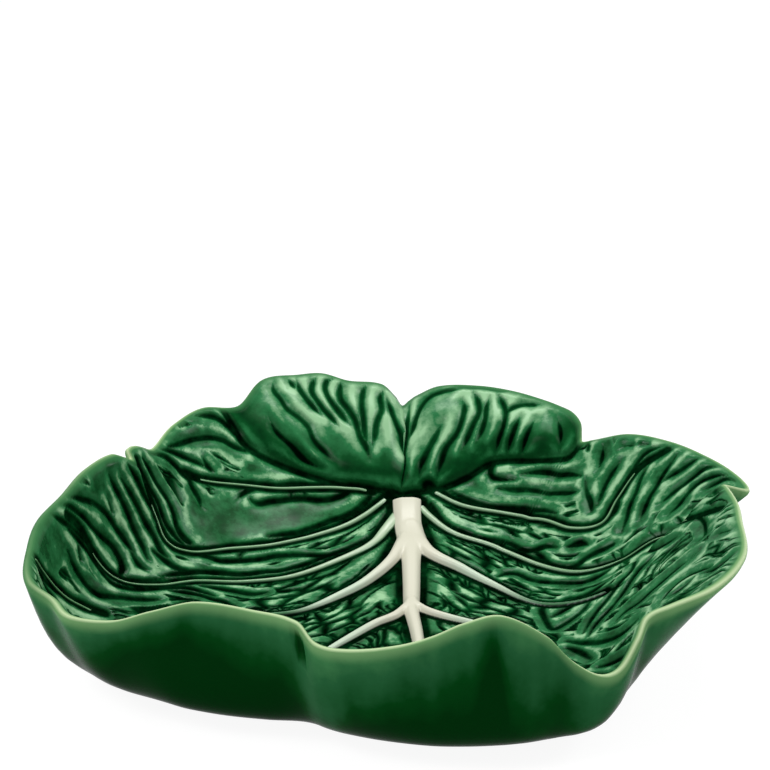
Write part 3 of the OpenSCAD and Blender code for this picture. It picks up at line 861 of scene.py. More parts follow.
def mark_leaf(leaf, p, q, lip):
    """Stores what the puffs and the glaze follow, for each point of the leaf.

    grain: what grain_of gives.
    line: the distance to the nearest drawn line, how far it is across to the second
    nearest, from 0 on a line to 1 half way, and less where the two are close, and how
    much it belongs to a narrow ridge between them.
    crease: the distance from the crease below the lobes, above zero on the lobes.
    zone: how much it belongs to the walls, to the lobes and to the leaf's face.
    plain: how free it is of the cell pattern.
    outside: how far down it is on its run of pale glaze and painted light before the
    painted shade towards the foot, and how deep in the slit.
    bulge: how far it is moved out of the clay by the lobes' bulge, less the slit."""
    wall = smooth((np.hypot(p, q) - WALL_FROM) / WALL_OVER)
    past_end = np.maximum(q - TRUNK_CUT, 0)
    ribs = nearest([TRUNK] + IVORY_SIDE_RIBS, p, q, 30) - RIB_POOL
    ribs = ribs + POOL_END_SLOPE * past_end
    veins = nearest(GREEN_VEINS, p, q, 12) - VEIN_POOL
    crease = nearest([CREASE], p, q, 30) - CREASE_POOL
    walls = leaf_places(LEFT_WALL_FURROWS + RIGHT_WALL_FURROWS + FLOOR_FURROWS)
    furrows = tapered(walls + front_folds(), 1.0, WALL_TAPER)
    furrows += tapered(leaf_places(LOBE_FURROWS), LOBE_NARROWING, LOBE_TAPER)
    folds, second = nearest_two(furrows, p, q, 14, FURROW_SHARE)
    folds, second = folds - FURROW_POOL, second - FURROW_POOL
    four = np.sort(np.stack([ribs, veins, folds, crease]), 0)
    first, second = four[0], np.minimum(second, four[1])
    gap = first + second
    across = np.clip(2 * first / np.maximum(gap, 0.01), 0, 1)
    across = across * np.clip(gap / FULL_PUFF_GAP, LEAST_PUFF, 1)
    narrow = smooth((RIDGE_TO - gap) / RIDGE_OVER) * smooth((gap - RIDGE_FROM) / RIDGE_RISE)
    put(leaf, "grain", grain_of(p, q))
    put(leaf, "line", np.stack([first, across, narrow], 1))

    crease_line = np.array(CREASE, float)
    above = q - np.interp(p, crease_line[:, 0], crease_line[:, 1])
    between = (p > crease_line[0, 0]) & (p < crease_line[-1, 0])
    crease = np.where(above > 0, crease, -crease) * between
    lobe = np.where(between, smooth(above / LOBE_EDGE), 0)
    face = smooth((-lip - LIP_T / 2) / FACE_EDGE)
    put(leaf, "crease", crease)
    put(leaf, "zone", np.stack([wall, lobe, face], 1))

    bands = smooth(1 - nearest(leaf_places(PLAIN_BANDS), p, q, 12) / BAND_EDGE)
    beside = smooth(1.3 - folds / (PLAIN_BESIDE + MORE_PLAIN_ON_WALL * wall))
    put(leaf, "plain", np.maximum(lobe, np.maximum(bands, beside)))

    angle = np.mod(np.degrees(np.arctan2(q, p)), 360)
    table = np.concatenate([PALE_RUNS_BEFORE_SHADE, PALE_RUNS_BEFORE_SHADE[:1] + [360, 0]])
    run = np.interp(angle, table[:, 0], table[:, 1])
    slit = smooth(1.6 - np.abs(angle - SLIT_ANGLE - SLIT_LEAN * lip) / SLIT_HALF)
    slit = slit * smooth((lip - SLIT_FROM) / SLIT_TOP) * smooth((SLIT_TO - lip) / SLIT_FOOT)
    put(leaf, "outside", np.stack([lip / run, slit, 0 * run], 1))
    bulge = smooth(crease / BULGE_RISE) * smooth((-lip - BULGE_LIP_GAP) / BULGE_LIP_RISE)
    put(leaf, "bulge", LOBE_BULGE * bulge - SLIT_DEPTH * slit)


def rib_mesh():
    """The ivory ribs: a net of cells over the leaf places near them. Each rib is a dome,
    h (1 - u^3.2) with u the distance from the rib's middle over half its width, and the
    height over the leaf is the logarithm of the sum of the domes' exponentials, a
    smooth greatest value. At the stalk end it falls off by the distance past the cut to
    the power of 1.5. Cells far below the leaf's surface are left out, and a second
    layer inside the clay closes the piece."""
    p, q = np.meshgrid(np.arange(*RIB_AREA_P, RIB_CELL), np.arange(*RIB_AREA_Q, RIB_CELL),
                       indexing="ij")
    flat_p, flat_q = p.ravel(), q.ravel()
    total = np.full(p.size, math.exp(DEEPEST_DOME / RIB_BLEND))
    for rows in [TRUNK] + IVORY_SIDE_RIBS:
        line = drawn(rows, 0.5)
        near = np.abs(nearest([rows], flat_p, flat_q, RIB_REACH)) < RIB_REACH - 0.1
        away = np.hypot(flat_p[near, None] - line[:, 0], flat_q[near, None] - line[:, 1])
        u = (away / (line[:, 2] / 2)).min(1)
        tall = IVORY_HEIGHT * np.clip(line[:, 2] / FULL_RIB_WIDTH - THIN_RIB_LESS,
                                      THIN_RIB_SHARE, 1.0)
        dome = tall[away.argmin(1)] * (1 - np.minimum(u, 3) ** 3.2)
        total[near] += np.exp(np.maximum(dome, DEEPEST_DOME) / RIB_BLEND)
    height = RIB_BLEND * np.log(total).reshape(p.shape)
    height = np.minimum(height, IVORY_HEIGHT + RIB_MEETING)
    height = height - np.maximum(q - TRUNK_CUT, 0) ** 1.5
    corners = [height[:-1, :-1], height[1:, :-1], height[1:, 1:], height[:-1, 1:]]
    kept = np.stack(corners).max(0) > RIB_KEPT
    base = sum(on_leaf(p + beside, q) for beside in RIB_SPREAD) / len(RIB_SPREAD)
    up = square_to_leaf(p, q, RIB_SPREAD[-1])
    top = base + up * np.maximum(height, RIB_LOWEST)[..., None]
    under = base - up * RIB_SINK
    return net_piece("ivory_ribs", top, under, kept, p, q, height)


def net_piece(name, top, under, kept, p, q, height):
    """A closed piece from two layers of a net: kept cells of both, and walls along every
    edge between a kept cell and one that is left out."""
    rows, columns = p.shape
    index = np.arange(rows * columns).reshape(rows, columns)
    far = rows * columns
    a, b = index[:-1, :-1][kept], index[1:, :-1][kept]
    c, d = index[1:, 1:][kept], index[:-1, 1:][kept]
    faces = [np.stack([a, b, c], 1), np.stack([a, c, d], 1),
             np.stack([a, c, b], 1) + far, np.stack([a, d, c], 1) + far]
    framed = np.pad(kept, 1)
    here = framed[1:-1, 1:-1]
    for shift, (first, second) in {
            (0, -1): ((0, 0), (1, 0)), (1, 0): ((1, 0), (1, 1)),
            (0, 1): ((1, 1), (0, 1)), (-1, 0): ((0, 1), (0, 0))}.items():
        beside = np.roll(framed, (-shift[0], -shift[1]), (0, 1))[1:-1, 1:-1]
        at = np.argwhere(here & ~beside)
        e = index[at[:, 0] + first[0], at[:, 1] + first[1]]
        f = index[at[:, 0] + second[0], at[:, 1] + second[1]]
        faces += [np.stack([e, e + far, f + far], 1), np.stack([e, f + far, f], 1)]
    faces = np.concatenate(faces)
    used, faces = np.unique(faces, return_inverse=True)
    points = np.concatenate([top.reshape(-1, 3), under.reshape(-1, 3)])[used]
    piece = new_mesh(name, points, faces.reshape(-1, 3))
    flow = np.stack([p.ravel(), q.ravel(), height.ravel()], 1)
    put(piece, "flow", np.concatenate([flow, flow])[used])
    return piece


def vein_mesh():
    """The green side veins: a half round section carried along each drawn line. At a
    section's angle a the point lies half a width times cos a across the line, and
    height times sin a above the leaf, with a closed foot inside the clay. Towards its
    ends a vein sinks into the leaf. Each point stores how far it lies across the vein,
    from -1 to 1, and how ivory it is, which fades with the distance from the trunk."""
    turn = np.radians([0, 22, 45, 68, 90, 112, 135, 158, 180])
    side = np.concatenate([np.cos(turn), [-1, 1]])
    lift = np.concatenate([np.sin(turn), [0, 0]])
    foot = np.concatenate([np.full(len(turn), VEIN_FOOT), [VEIN_ROOT, VEIN_ROOT]])
    points, faces, places, count = [], [], [], 0
    for rows, ivory in zip(GREEN_VEINS, VEIN_IVORY):
        line = drawn(rows, 1.5)
        run = np.gradient(line[:, :2], axis=0)
        run /= np.linalg.norm(run, axis=1, keepdims=True)
        across = np.stack([run[:, 1], -run[:, 0]], 1)
        share = np.linspace(0, 1, len(line))
        fade = smooth(share * 12) * smooth((1 - share) * 4)
        half = line[:, 2] / 2
        tall = VEIN_HEIGHT * np.sqrt(line[:, 2] / VEIN_USUAL_WIDTH)
        tall = tall * fade - VEIN_END_SINK * (1 - fade)
        away = np.hypot(line[:, 0] - TRUNK_MIDDLE, line[:, 1] - TRUNK_TOP)
        pale = ivory * smooth(1.3 - away / VEIN_IVORY_REACH)
        p = line[:, :1] + across[:, :1] * half[:, None] * side
        q = line[:, 1:2] + across[:, 1:] * half[:, None] * side
        up = lift * tall[:, None] + foot
        points.append((on_leaf(p, q) + square_to_leaf(p, q) * up[..., None]).reshape(-1, 3))
        places.append(np.stack([p, pale[:, None] + 0 * p, side + 0 * p], -1).reshape(-1, 3))
        index = count + np.arange(p.size).reshape(p.shape)
        count += p.size
        a, b = index[:-1], index[1:]
        a2, b2 = np.roll(a, -1, 1), np.roll(b, -1, 1)
        faces.append(np.stack([a, b, b2], -1).reshape(-1, 3))
        faces.append(np.stack([a, b2, a2], -1).reshape(-1, 3))
        for end, order in ((index[0], (0, 1, 2)), (index[-1], (0, 2, 1))):
            fan = np.stack([np.full(len(end) - 2, end[0]), end[1:-1], end[2:]], 1)
            faces.append(fan[:, order])
    piece = new_mesh("green_veins", np.concatenate(points), np.concatenate(faces))
    put(piece, "flow", np.concatenate(places))
    return piece


def linear(code):
    """A colour written as sRGB hex, turned to linear light with an alpha of one."""
    parts = [int(code[k:k + 2], 16) / 255 for k in (1, 3, 5)]
    return [c / 12.92 if c <= 0.04045 else ((c + 0.055) / 1.055) ** 2.4 for c in parts] + [1.0]


def add(tree, kind, settings=None, links=None):
    """Adds a node with its settings and links. A link is a socket, a node, whose first
    output is meant, or a plain value."""
    node = tree.nodes.new(kind)
    for name, value in (settings or {}).items():
        setattr(node, name, value)
    for key, value in (links or {}).items():
        if isinstance(value, bpy.types.Node):
            value = value.outputs[0]
        if isinstance(value, bpy.types.NodeSocket):
            tree.links.new(value, node.inputs[key])
        else:
            node.inputs[key].default_value = value
    return node


def sums(tree, formula, *values):
    """A chain of Math nodes: formula is a list of (operation, operands), where an operand
    is a number, a socket, or a text such as "0" for one of the values or "=" for the
    step before."""
    last = None
    for operation, *operands in formula:
        picked = [last if o == "=" else values[int(o)] if isinstance(o, str) else o
                  for o in operands]
        clamp = operation.endswith("!")
        last = add(tree, "ShaderNodeMath",
                   {"operation": operation.rstrip("!"), "use_clamp": clamp},
                   dict(enumerate(picked)))
    return last


# The cell pattern of the leaf's skin. It wavers over this length in millimetres, by
# these numbers of cells along the grain and across it.
WAVER = 26.0
WAVER_ALONG = 0.35
WAVER_CELLS = 0.6
# The heights of the puffs in millimetres, and how far from a line they are full
PUFF_REACH = 2.9
FLOOR_PUFF = 1.2
WALL_PUFF = 1.5
LOBE_PUFF = 1.9
# The three sizes of cell, as cells for each step of the grain's number. A size begins
# where a step is as wide as its number times the first width here, in millimetres, and
# is complete at the second.
CELL_SIZES = (0.7, 1.5, 3.0)
NARROWEST = 2.8
COMPLETE = 5.8
# A distance in millimetres that is past every line
NO_LINE = 8.0
NO_CELL = 12.0
# Patches where the cells' lines break off: their size in millimetres
PATCH = 13.0


def puffs(tree, flow, grain, line, zone, plain, sizes=CELL_SIZES):
    """The leaf's skin from its lines: the distance to the nearest line, drawn or in the
    cell pattern; how much a place is the crest of a narrow ridge; and the height of the
    puffs. A share runs from 0 in a furrow to 1 half way to the next, and the height is
    2 s - s^2 of that share s. The cells lie along the grain, and their smaller sizes
    appear only where the grain is wide."""
    wander = add(tree, "ShaderNodeTexNoise", {"noise_dimensions": "3D"},
                 {"Vector": flow, "Scale": 1 / WAVER, "Detail": 1.0, "Roughness": 0.4})
    centred = add(tree, "ShaderNodeVectorMath", {"operation": "SUBTRACT"},
                  {0: wander.outputs["Color"], 1: (0.5, 0.5, 0.5)})
    moved = add(tree, "ShaderNodeVectorMath", {"operation": "MULTIPLY_ADD"},
                {0: centred, 1: (2 * WAVER_ALONG, 2 * WAVER_CELLS, 0), 2: grain})
    width = add(tree, "ShaderNodeSeparateXYZ", None, {0: grain}).outputs[2]
    parts = add(tree, "ShaderNodeSeparateXYZ", None, {0: zone})
    cells = None
    for size in sizes:
        scaled = add(tree, "ShaderNodeVectorMath", {"operation": "MULTIPLY"},
                     {0: moved, 1: (math.sqrt(size), size, 0)})
        found = add(tree, "ShaderNodeTexVoronoi",
                    {"voronoi_dimensions": "2D", "feature": "DISTANCE_TO_EDGE"},
                    {"Vector": scaled, "Scale": 1.0, "Randomness": 1.0})
        absent = add(tree, "ShaderNodeMapRange", {"interpolation_type": "SMOOTHSTEP"},
                     {"Value": width, "From Min": NARROWEST * size, "From Max": COMPLETE * size,
                      "To Min": NO_LINE, "To Max": 0.0})
        away = sums(tree, [("MULTIPLY", "0", "1"), ("DIVIDE", "=", size), ("ADD", "=", "2")],
                    found, width, absent)
        cells = away if cells is None else sums(tree, [("MINIMUM", "0", "1")], cells, away)
    patch = add(tree, "ShaderNodeTexNoise", {"noise_dimensions": "3D"},
                {"Vector": flow, "Scale": 1 / PATCH, "Detail": 1.0})
    broken = sums(tree, [("SUBTRACT", "0", 0.56), ("MULTIPLY", "=", 7.0), ("MAXIMUM", "=", 0.0),
                         ("ADD", "=", "1")], patch, cells)
    ruled = add(tree, "ShaderNodeMix", {"data_type": "FLOAT"},
                {"Factor": plain, "A": broken, "B": NO_CELL})
    drawn_line = add(tree, "ShaderNodeSeparateXYZ", None, {0: line})
    far = sums(tree, [("MINIMUM", "0", "1")], ruled, drawn_line.outputs[0])
    tall = sums(tree, [("MULTIPLY", "0", WALL_PUFF - FLOOR_PUFF), ("ADD", "=", FLOOR_PUFF)],
                parts.outputs[0])
    tall = add(tree, "ShaderNodeMix", {"data_type": "FLOAT"},
               {"Factor": parts.outputs[1], "A": tall, "B": LOBE_PUFF})
    cell_share = add(tree, "ShaderNodeMapRange", None,
                     {"Value": ruled, "From Min": -0.3, "From Max": PUFF_REACH})
    share = sums(tree, [("MINIMUM", "0", "1")], cell_share, drawn_line.outputs[1])
    height = sums(tree, [("SUBTRACT", 2.0, "0"), ("MULTIPLY", "=", "0"), ("MULTIPLY", "=", "1"),
                         ("MULTIPLY", "=", "2")], share, tall, parts.outputs[2])
    ridge = sums(tree, [("SUBTRACT", 1.0, "0"), ("MAXIMUM", "=", "1"), ("MULTIPLY", "=", "2"),
                        ("MULTIPLY", "=", "2")], plain, drawn_line.outputs[2], share)
    return far, ridge, height


def raise_puffs(leaf):
    """Moves the leaf's points along its normals by the height of the puffs and the bulge,
    and keeps the result as a plain mesh, inside the frame's box. The nodes are the
    glaze's own, but without the smallest cells, which are finer than the mesh."""
    tree = bpy.data.node_groups.new("leaf_puffs", "GeometryNodeTree")
    tree.interface.new_socket("Geometry", in_out="INPUT", socket_type="NodeSocketGeometry")
    tree.interface.new_socket("Geometry", in_out="OUTPUT", socket_type="NodeSocketGeometry")
    came = add(tree, "NodeGroupInput")
    named = {name: add(tree, "GeometryNodeInputNamedAttribute", {"data_type": kind}, {0: name})
             for name, kind in (("flow", "FLOAT_VECTOR"), ("grain", "FLOAT_VECTOR"),
                                ("line", "FLOAT_VECTOR"), ("zone", "FLOAT_VECTOR"),
                                ("plain", "FLOAT"), ("bulge", "FLOAT"))}
    read = ("flow", "grain", "line", "zone", "plain")
    height = puffs(tree, *(named[name].outputs[0] for name in read), CELL_SIZES[:2])[2]
    metres = sums(tree, [("ADD", "0", "1"), ("MULTIPLY", "=", MM)], height, named["bulge"])
    normal = add(tree, "GeometryNodeInputNormal")
    offset = add(tree, "ShaderNodeVectorMath", {"operation": "SCALE"},
                 {0: normal, "Scale": metres})
    moved = add(tree, "GeometryNodeSetPosition", None, {0: came, "Offset": offset})
    add(tree, "NodeGroupOutput", None, {0: moved})
    modifier = leaf.modifiers.new("puffs", "NODES")
    modifier.node_group = tree
    ready = bpy.context.evaluated_depsgraph_get()
    shaped = bpy.data.meshes.new_from_object(leaf.evaluated_get(ready))
    leaf.modifiers.clear()
    leaf.data = shaped
    points = np.zeros(len(shaped.vertices) * 3, np.float32)
    shaped.vertices.foreach_get("co", points)
    kept = np.clip(points.reshape(-1, 3), np.array(cad_low) + 1e-6, np.array(cad_high) - 1e-6)
    shaped.vertices.foreach_set("co", kept.astype(np.float32).ravel())
    shaped.update()


def new_material(name):
    """An empty material with a Principled shader joined to its output."""
    material = bpy.data.materials.new(name)
    material.use_nodes = True
    tree = material.node_tree
    tree.nodes.clear()
    shader = add(tree, "ShaderNodeBsdfPrincipled")
    add(tree, "ShaderNodeOutputMaterial", None, {"Surface": shader})
    return material, tree, shader


def finish_shader(tree, shader, sockets):
    """Sets or links the shader's own sockets."""
    for name, value in sockets.items():
        if isinstance(value, bpy.types.Node):
            value = value.outputs[0]
        if isinstance(value, bpy.types.NodeSocket):
            tree.links.new(value, shader.inputs[name])
        else:
            shader.inputs[name].default_value = value


def colour_ramp(tree, value, stops):
    """A colour ramp from rows of place and hex colour."""
    ramp = add(tree, "ShaderNodeValToRGB", None, {0: value})
    elements = ramp.color_ramp.elements
    while len(elements) < len(stops):
        elements.new(0.5)
    for element, (place, code) in zip(elements, stops):
        element.position = place
        element.color = linear(code)
    return ramp


# The sizes in metres of the clouds in the glaze, of the streaks where it ran down the
# outside, and of the mist where they end
CLOUD_SIZE = 0.012
STREAK_WIDTH = 0.012
STREAK_LENGTH = 0.12
MIST_SIZE = 0.03
# How far the dark glaze reaches from a line, in millimetres, how much less far it does on
# the walls, where the glaze ran thinner, and how much less on the right hand side, as painted light
DARK_REACH = 2.5
LESS_DARK_ON_WALL = 0.7
LESS_DARK_ON_LIT_RIGHT = 0.55
# What the face's lightness starts from in a line, and what the open skin, a ridge and the
# walls add to it; the lobes and the right hand side add painted light
LEAST_LIGHT = 0.08
OPEN_LIGHT = 0.46
RIDGE_LIGHT = 0.44
WALL_LIGHT = 0.04
LOBE_PAINTED_LIGHT = 0.14
RIGHT_PAINTED_LIGHT = 0.02
# The share of its clouds that the glaze loses on the lobes
LOBE_CALM = 0.45


def green_glaze():
    """Green lead-style majolica glaze over pressed earthenware: a thick clear coloured
    glass that runs thin and light on the ridges and pools nearly black in the lines.

    On the leaf's face the level of lightness is a sum: a cloud, how far the place is
    from a line, whether it is the crest of a ridge, a little for the walls, and painted
    light on the lobes and the right hand side, less a painted shade at the foot of the
    lobes, where the crease also pools glaze. On the outside the darkness is how far the
    place is down its run of pale glaze, with painted shade below the run towards the
    foot, and a mist, streaks and the slit. The glaze is rubbed pale at the lip, and a
    painted highlight lies along the lip's crest. Only the face's open skin shines,
    so that the furrows stay black when seen at a low angle."""
    material, tree, shader = new_material("green_majolica_glaze")
    flow, grain, line, zone = (
        add(tree, "ShaderNodeAttribute", {"attribute_name": name}).outputs["Vector"]
        for name in ("flow", "grain", "line", "zone"))
    lip, plain, crease = (add(tree, "ShaderNodeAttribute", {"attribute_name": name}).outputs["Fac"]
                          for name in ("lip", "plain", "crease"))
    place = add(tree, "ShaderNodeTexCoord").outputs["Object"]
    far, ridge, height = puffs(tree, flow, grain, line, zone, plain)
    parts = add(tree, "ShaderNodeSeparateXYZ", None, {0: zone})
    cloud = add(tree, "ShaderNodeTexNoise", None,
                {"Vector": place, "Scale": 1 / CLOUD_SIZE, "Detail": 4.0, "Roughness": 0.65})
    across = add(tree, "ShaderNodeSeparateXYZ", None, {0: flow})
    # The right hand side of the leaf, which gets painted light: its lines less dark and its face
    # lighter
    right = add(tree, "ShaderNodeMapRange", {"interpolation_type": "SMOOTHSTEP"},
                {"Value": across, "From Min": 30.0, "From Max": 130.0})
    dark_reach = sums(tree, [("MULTIPLY_ADD", "0", -LESS_DARK_ON_WALL, DARK_REACH),
                             ("MULTIPLY_ADD", "1", -LESS_DARK_ON_LIT_RIGHT, "=")],
                      parts.outputs[0], right)
    tone = add(tree, "ShaderNodeMapRange", {"interpolation_type": "SMOOTHSTEP"},
               {"Value": far, "From Min": -0.2, "From Max": dark_reach})
    # Painted shade at the foot of the lobes along the crease, partly pooled glaze there, going over
    # to a little painted light higher up the lobes
    low = add(tree, "ShaderNodeMapRange", {"interpolation_type": "SMOOTHSTEP"},
              {"Value": crease, "From Min": 3.0, "From Max": 36.0, "To Min": 0.4, "To Max": -0.08})
    low = sums(tree, [("MULTIPLY", "0", "1")], low, parts.outputs[1])
    calm = sums(tree, [("MULTIPLY_ADD", "0", -LOBE_CALM, 1.0)], parts.outputs[1])
    level = sums(tree, [("SUBTRACT", "0", 0.5), ("MULTIPLY", "=", "6"),
                        ("ADD", "=", LEAST_LIGHT),
                        ("MULTIPLY_ADD", "1", OPEN_LIGHT, "="),
                        ("MULTIPLY_ADD", "2", RIDGE_LIGHT, "="),
                        ("MULTIPLY_ADD", "4", WALL_LIGHT, "="),
                        ("MULTIPLY_ADD", "5", LOBE_PAINTED_LIGHT, "="),
                        ("MULTIPLY_ADD", "7", RIGHT_PAINTED_LIGHT, "="), ("SUBTRACT!", "=", "3")],
                 cloud, tone, ridge, low, parts.outputs[0], parts.outputs[1], calm, right)
    face = colour_ramp(tree, level, [(0.0, "#000802"), (0.2, "#02200C"), (0.5, "#0A441E"),
                                     (0.75, "#266B3E"), (1.0, "#8AB58A")])
    streaks = add(tree, "ShaderNodeMapping", None,
                  {"Vector": place, "Scale": (1 / STREAK_WIDTH, 1 / STREAK_WIDTH,
                                              1 / STREAK_LENGTH)})
    runs = add(tree, "ShaderNodeTexNoise", None, {"Vector": streaks, "Scale": 1.0, "Detail": 1.0})
    wall = add(tree, "ShaderNodeAttribute", {"attribute_name": "outside"}).outputs["Vector"]
    wall = add(tree, "ShaderNodeSeparateXYZ", None, {0: wall})
    mist = add(tree, "ShaderNodeTexNoise", None,
               {"Vector": place, "Scale": 1 / MIST_SIZE, "Detail": 4.0, "Roughness": 0.65})
    down = sums(tree, [("SUBTRACT", "1", 0.5), ("MULTIPLY_ADD", "=", 1.1, "0")],
                wall.outputs[0], mist)
    # Darker down the outside: pale glaze near the lip, then painted shade towards the foot, with
    # streaks and the slit darker
    run_and_painted_shade = sums(tree, [("MULTIPLY_ADD", "0", 0.6, -0.2), ("MULTIPLY_ADD", "1", 0.4, "="),
                         ("ADD!", "=", "2")], down, runs, wall.outputs[1])
    outside = colour_ramp(tree, run_and_painted_shade, [(0.0, "#356B40"), (0.25, "#1F5430"), (0.45, "#164A26"),
                                         (0.66, "#02380F"), (1.0, "#002A08")])
    body = add(tree, "ShaderNodeMix", {"data_type": "RGBA"},
               {"Factor": parts.outputs[2], "A": outside.outputs[0], "B": face.outputs[0]})
    inner_edge = add(tree, "ShaderNodeMapRange", {"interpolation_type": "SMOOTHSTEP"},
                     {"Value": lip, "From Min": -3.6, "From Max": -1.8})
    outer_edge = add(tree, "ShaderNodeMapRange", {"interpolation_type": "SMOOTHSTEP"},
                     {"Value": lip, "From Min": 0.0, "From Max": 9.0,
                      "To Min": 1.0, "To Max": 0.0})
    left = add(tree, "ShaderNodeMapRange", {"interpolation_type": "SMOOTHSTEP"},
               {"Value": across, "From Min": -225.0, "From Max": -160.0,
                "To Min": 0.04, "To Max": 1.0})
    back = sums(tree, [("MULTIPLY_ADD", "0", -0.8, 1.0), ("MULTIPLY", "=", "1")],
                parts.outputs[1], left)
    pale = sums(tree, [("MULTIPLY", "0", "1"), ("MULTIPLY", "=", "2"), ("MULTIPLY", "=", 0.8)],
                inner_edge, outer_edge, back)
    rubbed = add(tree, "ShaderNodeMix", {"data_type": "RGBA"},
                 {"Factor": pale, "A": body.outputs["Result"], "B": linear("#6F9663")})
    # The lip's crest: a narrow band of thin pale glaze carrying a painted highlight
    crest = sums(tree, [("ABSOLUTE", "0"), ("MULTIPLY_ADD", "=", -0.6, 1.1),
                        ("MULTIPLY!", "=", "1"), ("MULTIPLY", "=", 0.8)], lip, back)
    colour = add(tree, "ShaderNodeMix", {"data_type": "RGBA"},
                 {"Factor": crest, "A": rubbed.outputs["Result"], "B": linear("#BED0A4")})
    bump = add(tree, "ShaderNodeBump", None,
               {"Strength": 0.6, "Distance": MM, "Height": height})
    open_face = sums(tree, [("MULTIPLY_ADD!", "0", 1.6, -0.6)], tone)
    face_shine = sums(tree, [("MULTIPLY_ADD", "1", -2.4, 1.0), ("MULTIPLY!", "=", "0"),
                             ("MULTIPLY", "=", 0.1)], open_face, low)
    shine = add(tree, "ShaderNodeMix", {"data_type": "FLOAT"},
                {"Factor": parts.outputs[2], "A": 0.01, "B": face_shine})
    finish_shader(tree, shader, {
        "Base Color": colour.outputs["Result"], "Roughness": 0.25, "IOR": 1.5,
        "Specular IOR Level": shine, "Normal": bump})
    return material


def ivory_glaze():
    """Ivory majolica glaze on the ribs: opaque, warm and smooth. It goes cooler away from
    the trunk, green where the side ribs thin out, and dark where the green glaze laps
    over their feet."""
    material, tree, shader = new_material("ivory_majolica_glaze")
    flow = add(tree, "ShaderNodeAttribute", {"attribute_name": "flow"}).outputs["Vector"]
    parts = add(tree, "ShaderNodeSeparateXYZ", None, {0: flow})
    foot = add(tree, "ShaderNodeMapRange", {"interpolation_type": "SMOOTHSTEP"},
               {"Value": parts.outputs[2], "From Min": 0.2, "From Max": 1.0})
    side = sums(tree, [("SUBTRACT", "0", TRUNK_MIDDLE), ("ABSOLUTE", "=")], parts.outputs[0])
    fade = add(tree, "ShaderNodeMapRange", {"interpolation_type": "SMOOTHSTEP"},
               {"Value": side, "From Min": 42.0, "From Max": 70.0, "To Min": 1.0, "To Max": 0.0})
    away = add(tree, "ShaderNodeMapRange", {"interpolation_type": "SMOOTHSTEP"},
               {"Value": side, "From Min": 8.0, "From Max": 32.0})
    ivory = add(tree, "ShaderNodeMix", {"data_type": "RGBA"},
                {"Factor": away, "A": linear("#C4C2B0"), "B": linear("#B4C4AE")})
    crest = add(tree, "ShaderNodeMix", {"data_type": "RGBA"},
                {"Factor": fade, "A": linear("#3C6E46"), "B": ivory.outputs["Result"]})
    colour = add(tree, "ShaderNodeMix", {"data_type": "RGBA"},
                 {"Factor": foot, "A": linear("#06200E"), "B": crest.outputs["Result"]})
    finish_shader(tree, shader, {
        "Base Color": colour.outputs["Result"], "Roughness": 0.32, "IOR": 1.5,
        "Specular IOR Level": 0.3})
    return material


def vein_glaze():
    """The same green glaze on the side veins, worn thin and pale along their crests."""
    material, tree, shader = new_material("green_glaze_thin_on_veins")
    flow = add(tree, "ShaderNodeAttribute", {"attribute_name": "flow"}).outputs["Vector"]
    parts = add(tree, "ShaderNodeSeparateXYZ", None, {0: flow})
    crest = sums(tree, [("ABSOLUTE", "0")], parts.outputs[2])
    thin = colour_ramp(tree, crest, [(0.0, "#719A6E"), (0.5, "#457A4C"), (0.85, "#123E22"),
                                     (1.0, "#04200F")])
    bared = colour_ramp(tree, crest, [(0.0, "#B8C6AE"), (0.7, "#93AC8C"), (0.93, "#2E5B37"),
                                      (1.0, "#04200F")])
    colour = add(tree, "ShaderNodeMix", {"data_type": "RGBA"},
                 {"Factor": parts.outputs[1], "A": thin, "B": bared})
    finish_shader(tree, shader, {
        "Base Color": colour.outputs["Result"], "Roughness": 0.22, "IOR": 1.5,
        "Specular IOR Level": 0.3})
    return material


# The sizes in metres of the grit in the bare clay and of its paler and darker places
GRIT_SIZE = 0.0012
BLUSH_SIZE = 0.02


def bare_clay():
    """Unglazed fired earthenware on the foot ring: matt, warm and slightly gritty. The
    grit is drawn about three times as coarse as the real one, so that it shows."""
    material, tree, shader = new_material("bare_fired_earthenware")
    place = add(tree, "ShaderNodeTexCoord").outputs["Object"]
    grit = add(tree, "ShaderNodeTexNoise", None,
               {"Vector": place, "Scale": 1 / GRIT_SIZE, "Detail": 4.0, "Roughness": 0.6})
    cloud = add(tree, "ShaderNodeTexNoise", None, {"Vector": place, "Scale": 1 / BLUSH_SIZE})
    mixed = sums(tree, [("MULTIPLY", "0", 0.5), ("MULTIPLY_ADD", "1", 0.5, "=")], grit, cloud)
    colour = colour_ramp(tree, mixed, [(0.3, "#C3AE92"), (0.55, "#D8C7AC"), (0.75, "#E3D5BD")])
    bump = add(tree, "ShaderNodeBump", None, {"Strength": 0.3, "Distance": 0.0002, "Height": grit})
    finish_shader(tree, shader, {
        "Base Color": colour.outputs[0], "Roughness": 0.85, "Normal": bump})
    return material


def build_camera():
    """The photograph's view: 19 degrees down from just over a metre away."""
    data = bpy.data.cameras.new("camera")
    data.lens = CAMERA_LENS
    data.sensor_width = SENSOR_WIDTH
    camera = bpy.data.objects.new("camera", data)
    camera.location = CAMERA_PLACE
    camera.rotation_euler = (math.radians(CAMERA_TILT), 0, 0)
    bpy.context.scene.collection.objects.link(camera)
    bpy.context.scene.camera = camera


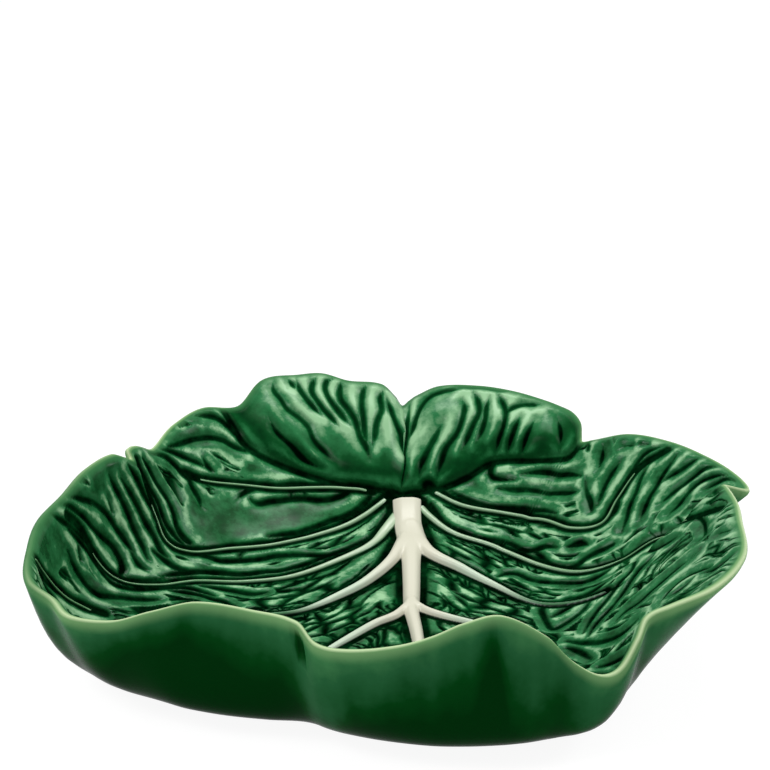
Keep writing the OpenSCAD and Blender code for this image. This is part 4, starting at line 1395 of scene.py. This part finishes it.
def build_stage():
    """A pale floor, an even pale sky, and soft lamps to the left, right and above."""
    floor_half = 12.0
    corners = np.array([[-1, -1, 0], [1, -1, 0], [1, 1, 0], [-1, 1, 0]]) * floor_half / MM
    floor = new_mesh("studio_floor", corners, np.array([[0, 1, 2], [0, 2, 3]]), False)
    material, tree, shader = new_material("matt_white_paper")
    finish_shader(tree, shader, {"Base Color": (0.93, 0.93, 0.93, 1), "Roughness": 1.0,
                                 "Specular IOR Level": 0.0})
    ray = add(tree, "ShaderNodeLightPath")
    seen = sums(tree, [("MAXIMUM", "0", "1"), ("MAXIMUM", "=", "2"), ("MULTIPLY", "=", 0.85)],
                ray.outputs["Is Camera Ray"], ray.outputs["Is Glossy Ray"],
                ray.outputs["Is Transmission Ray"])
    glow = add(tree, "ShaderNodeEmission", None, {"Color": (1, 1, 1, 1), "Strength": 1.08})
    lit = add(tree, "ShaderNodeMixShader", None, {0: seen, 1: shader, 2: glow})
    output = next(n for n in tree.nodes if n.type == "OUTPUT_MATERIAL")
    tree.links.new(lit.outputs[0], output.inputs["Surface"])
    floor.data.materials.append(material)

    world = bpy.data.worlds.new("studio")
    bpy.context.scene.world = world
    world.use_nodes = True
    background = world.node_tree.nodes["Background"]
    background.inputs["Color"].default_value = (1, 1, 1, 1)
    background.inputs["Strength"].default_value = 0.5
    for name, place, aim, size, power in (
            ("left_softbox", (-1.3, -0.5, 1.4), (0, 0, 0.03), (0.9, 0.7), 20),
            ("right_softbox", (1.4, 0.3, 1.2), (0, 0, 0.03), (0.7, 0.9), 16),
            ("top_softbox", (0.1, 0.9, 1.7), (0, 0, 0.03), (1.2, 0.5), 18)):
        data = bpy.data.lights.new(name, "AREA")
        data.shape = "RECTANGLE"
        data.size, data.size_y = size
        data.energy = power
        lamp = bpy.data.objects.new(name, data)
        lamp.location = place
        line = np.array(aim) - np.array(place)
        flat = math.hypot(line[0], line[1])
        lamp.rotation_euler = (math.pi / 2 + math.atan2(line[2], flat), 0,
                               math.atan2(line[1], line[0]) - math.pi / 2)
        bpy.context.scene.collection.objects.link(lamp)


def build_platter():
    """The leaf, its ribs and its veins, and the foot ring that came with the frame."""
    leaf = leaf_mesh()
    raise_puffs(leaf)
    ribs = rib_mesh()
    veins = vein_mesh()
    glaze = green_glaze()
    for piece, material, node, slot in (
            (leaf, glaze, "leaf_shell", "green_glaze"),
            (ribs, ivory_glaze(), "midrib", "ivory_glaze"),
            (veins, vein_glaze(), None, "green_glaze")):
        piece.data.materials.clear()
        piece.data.materials.append(material)
        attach(piece, "root")
        if node:
            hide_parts(node)
    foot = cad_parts["foot_ring"]
    foot.data.materials.clear()
    foot.data.materials.append(bare_clay())


build_camera()
build_stage()
build_platter()
bpy.context.scene.view_settings.view_transform = "Standard"
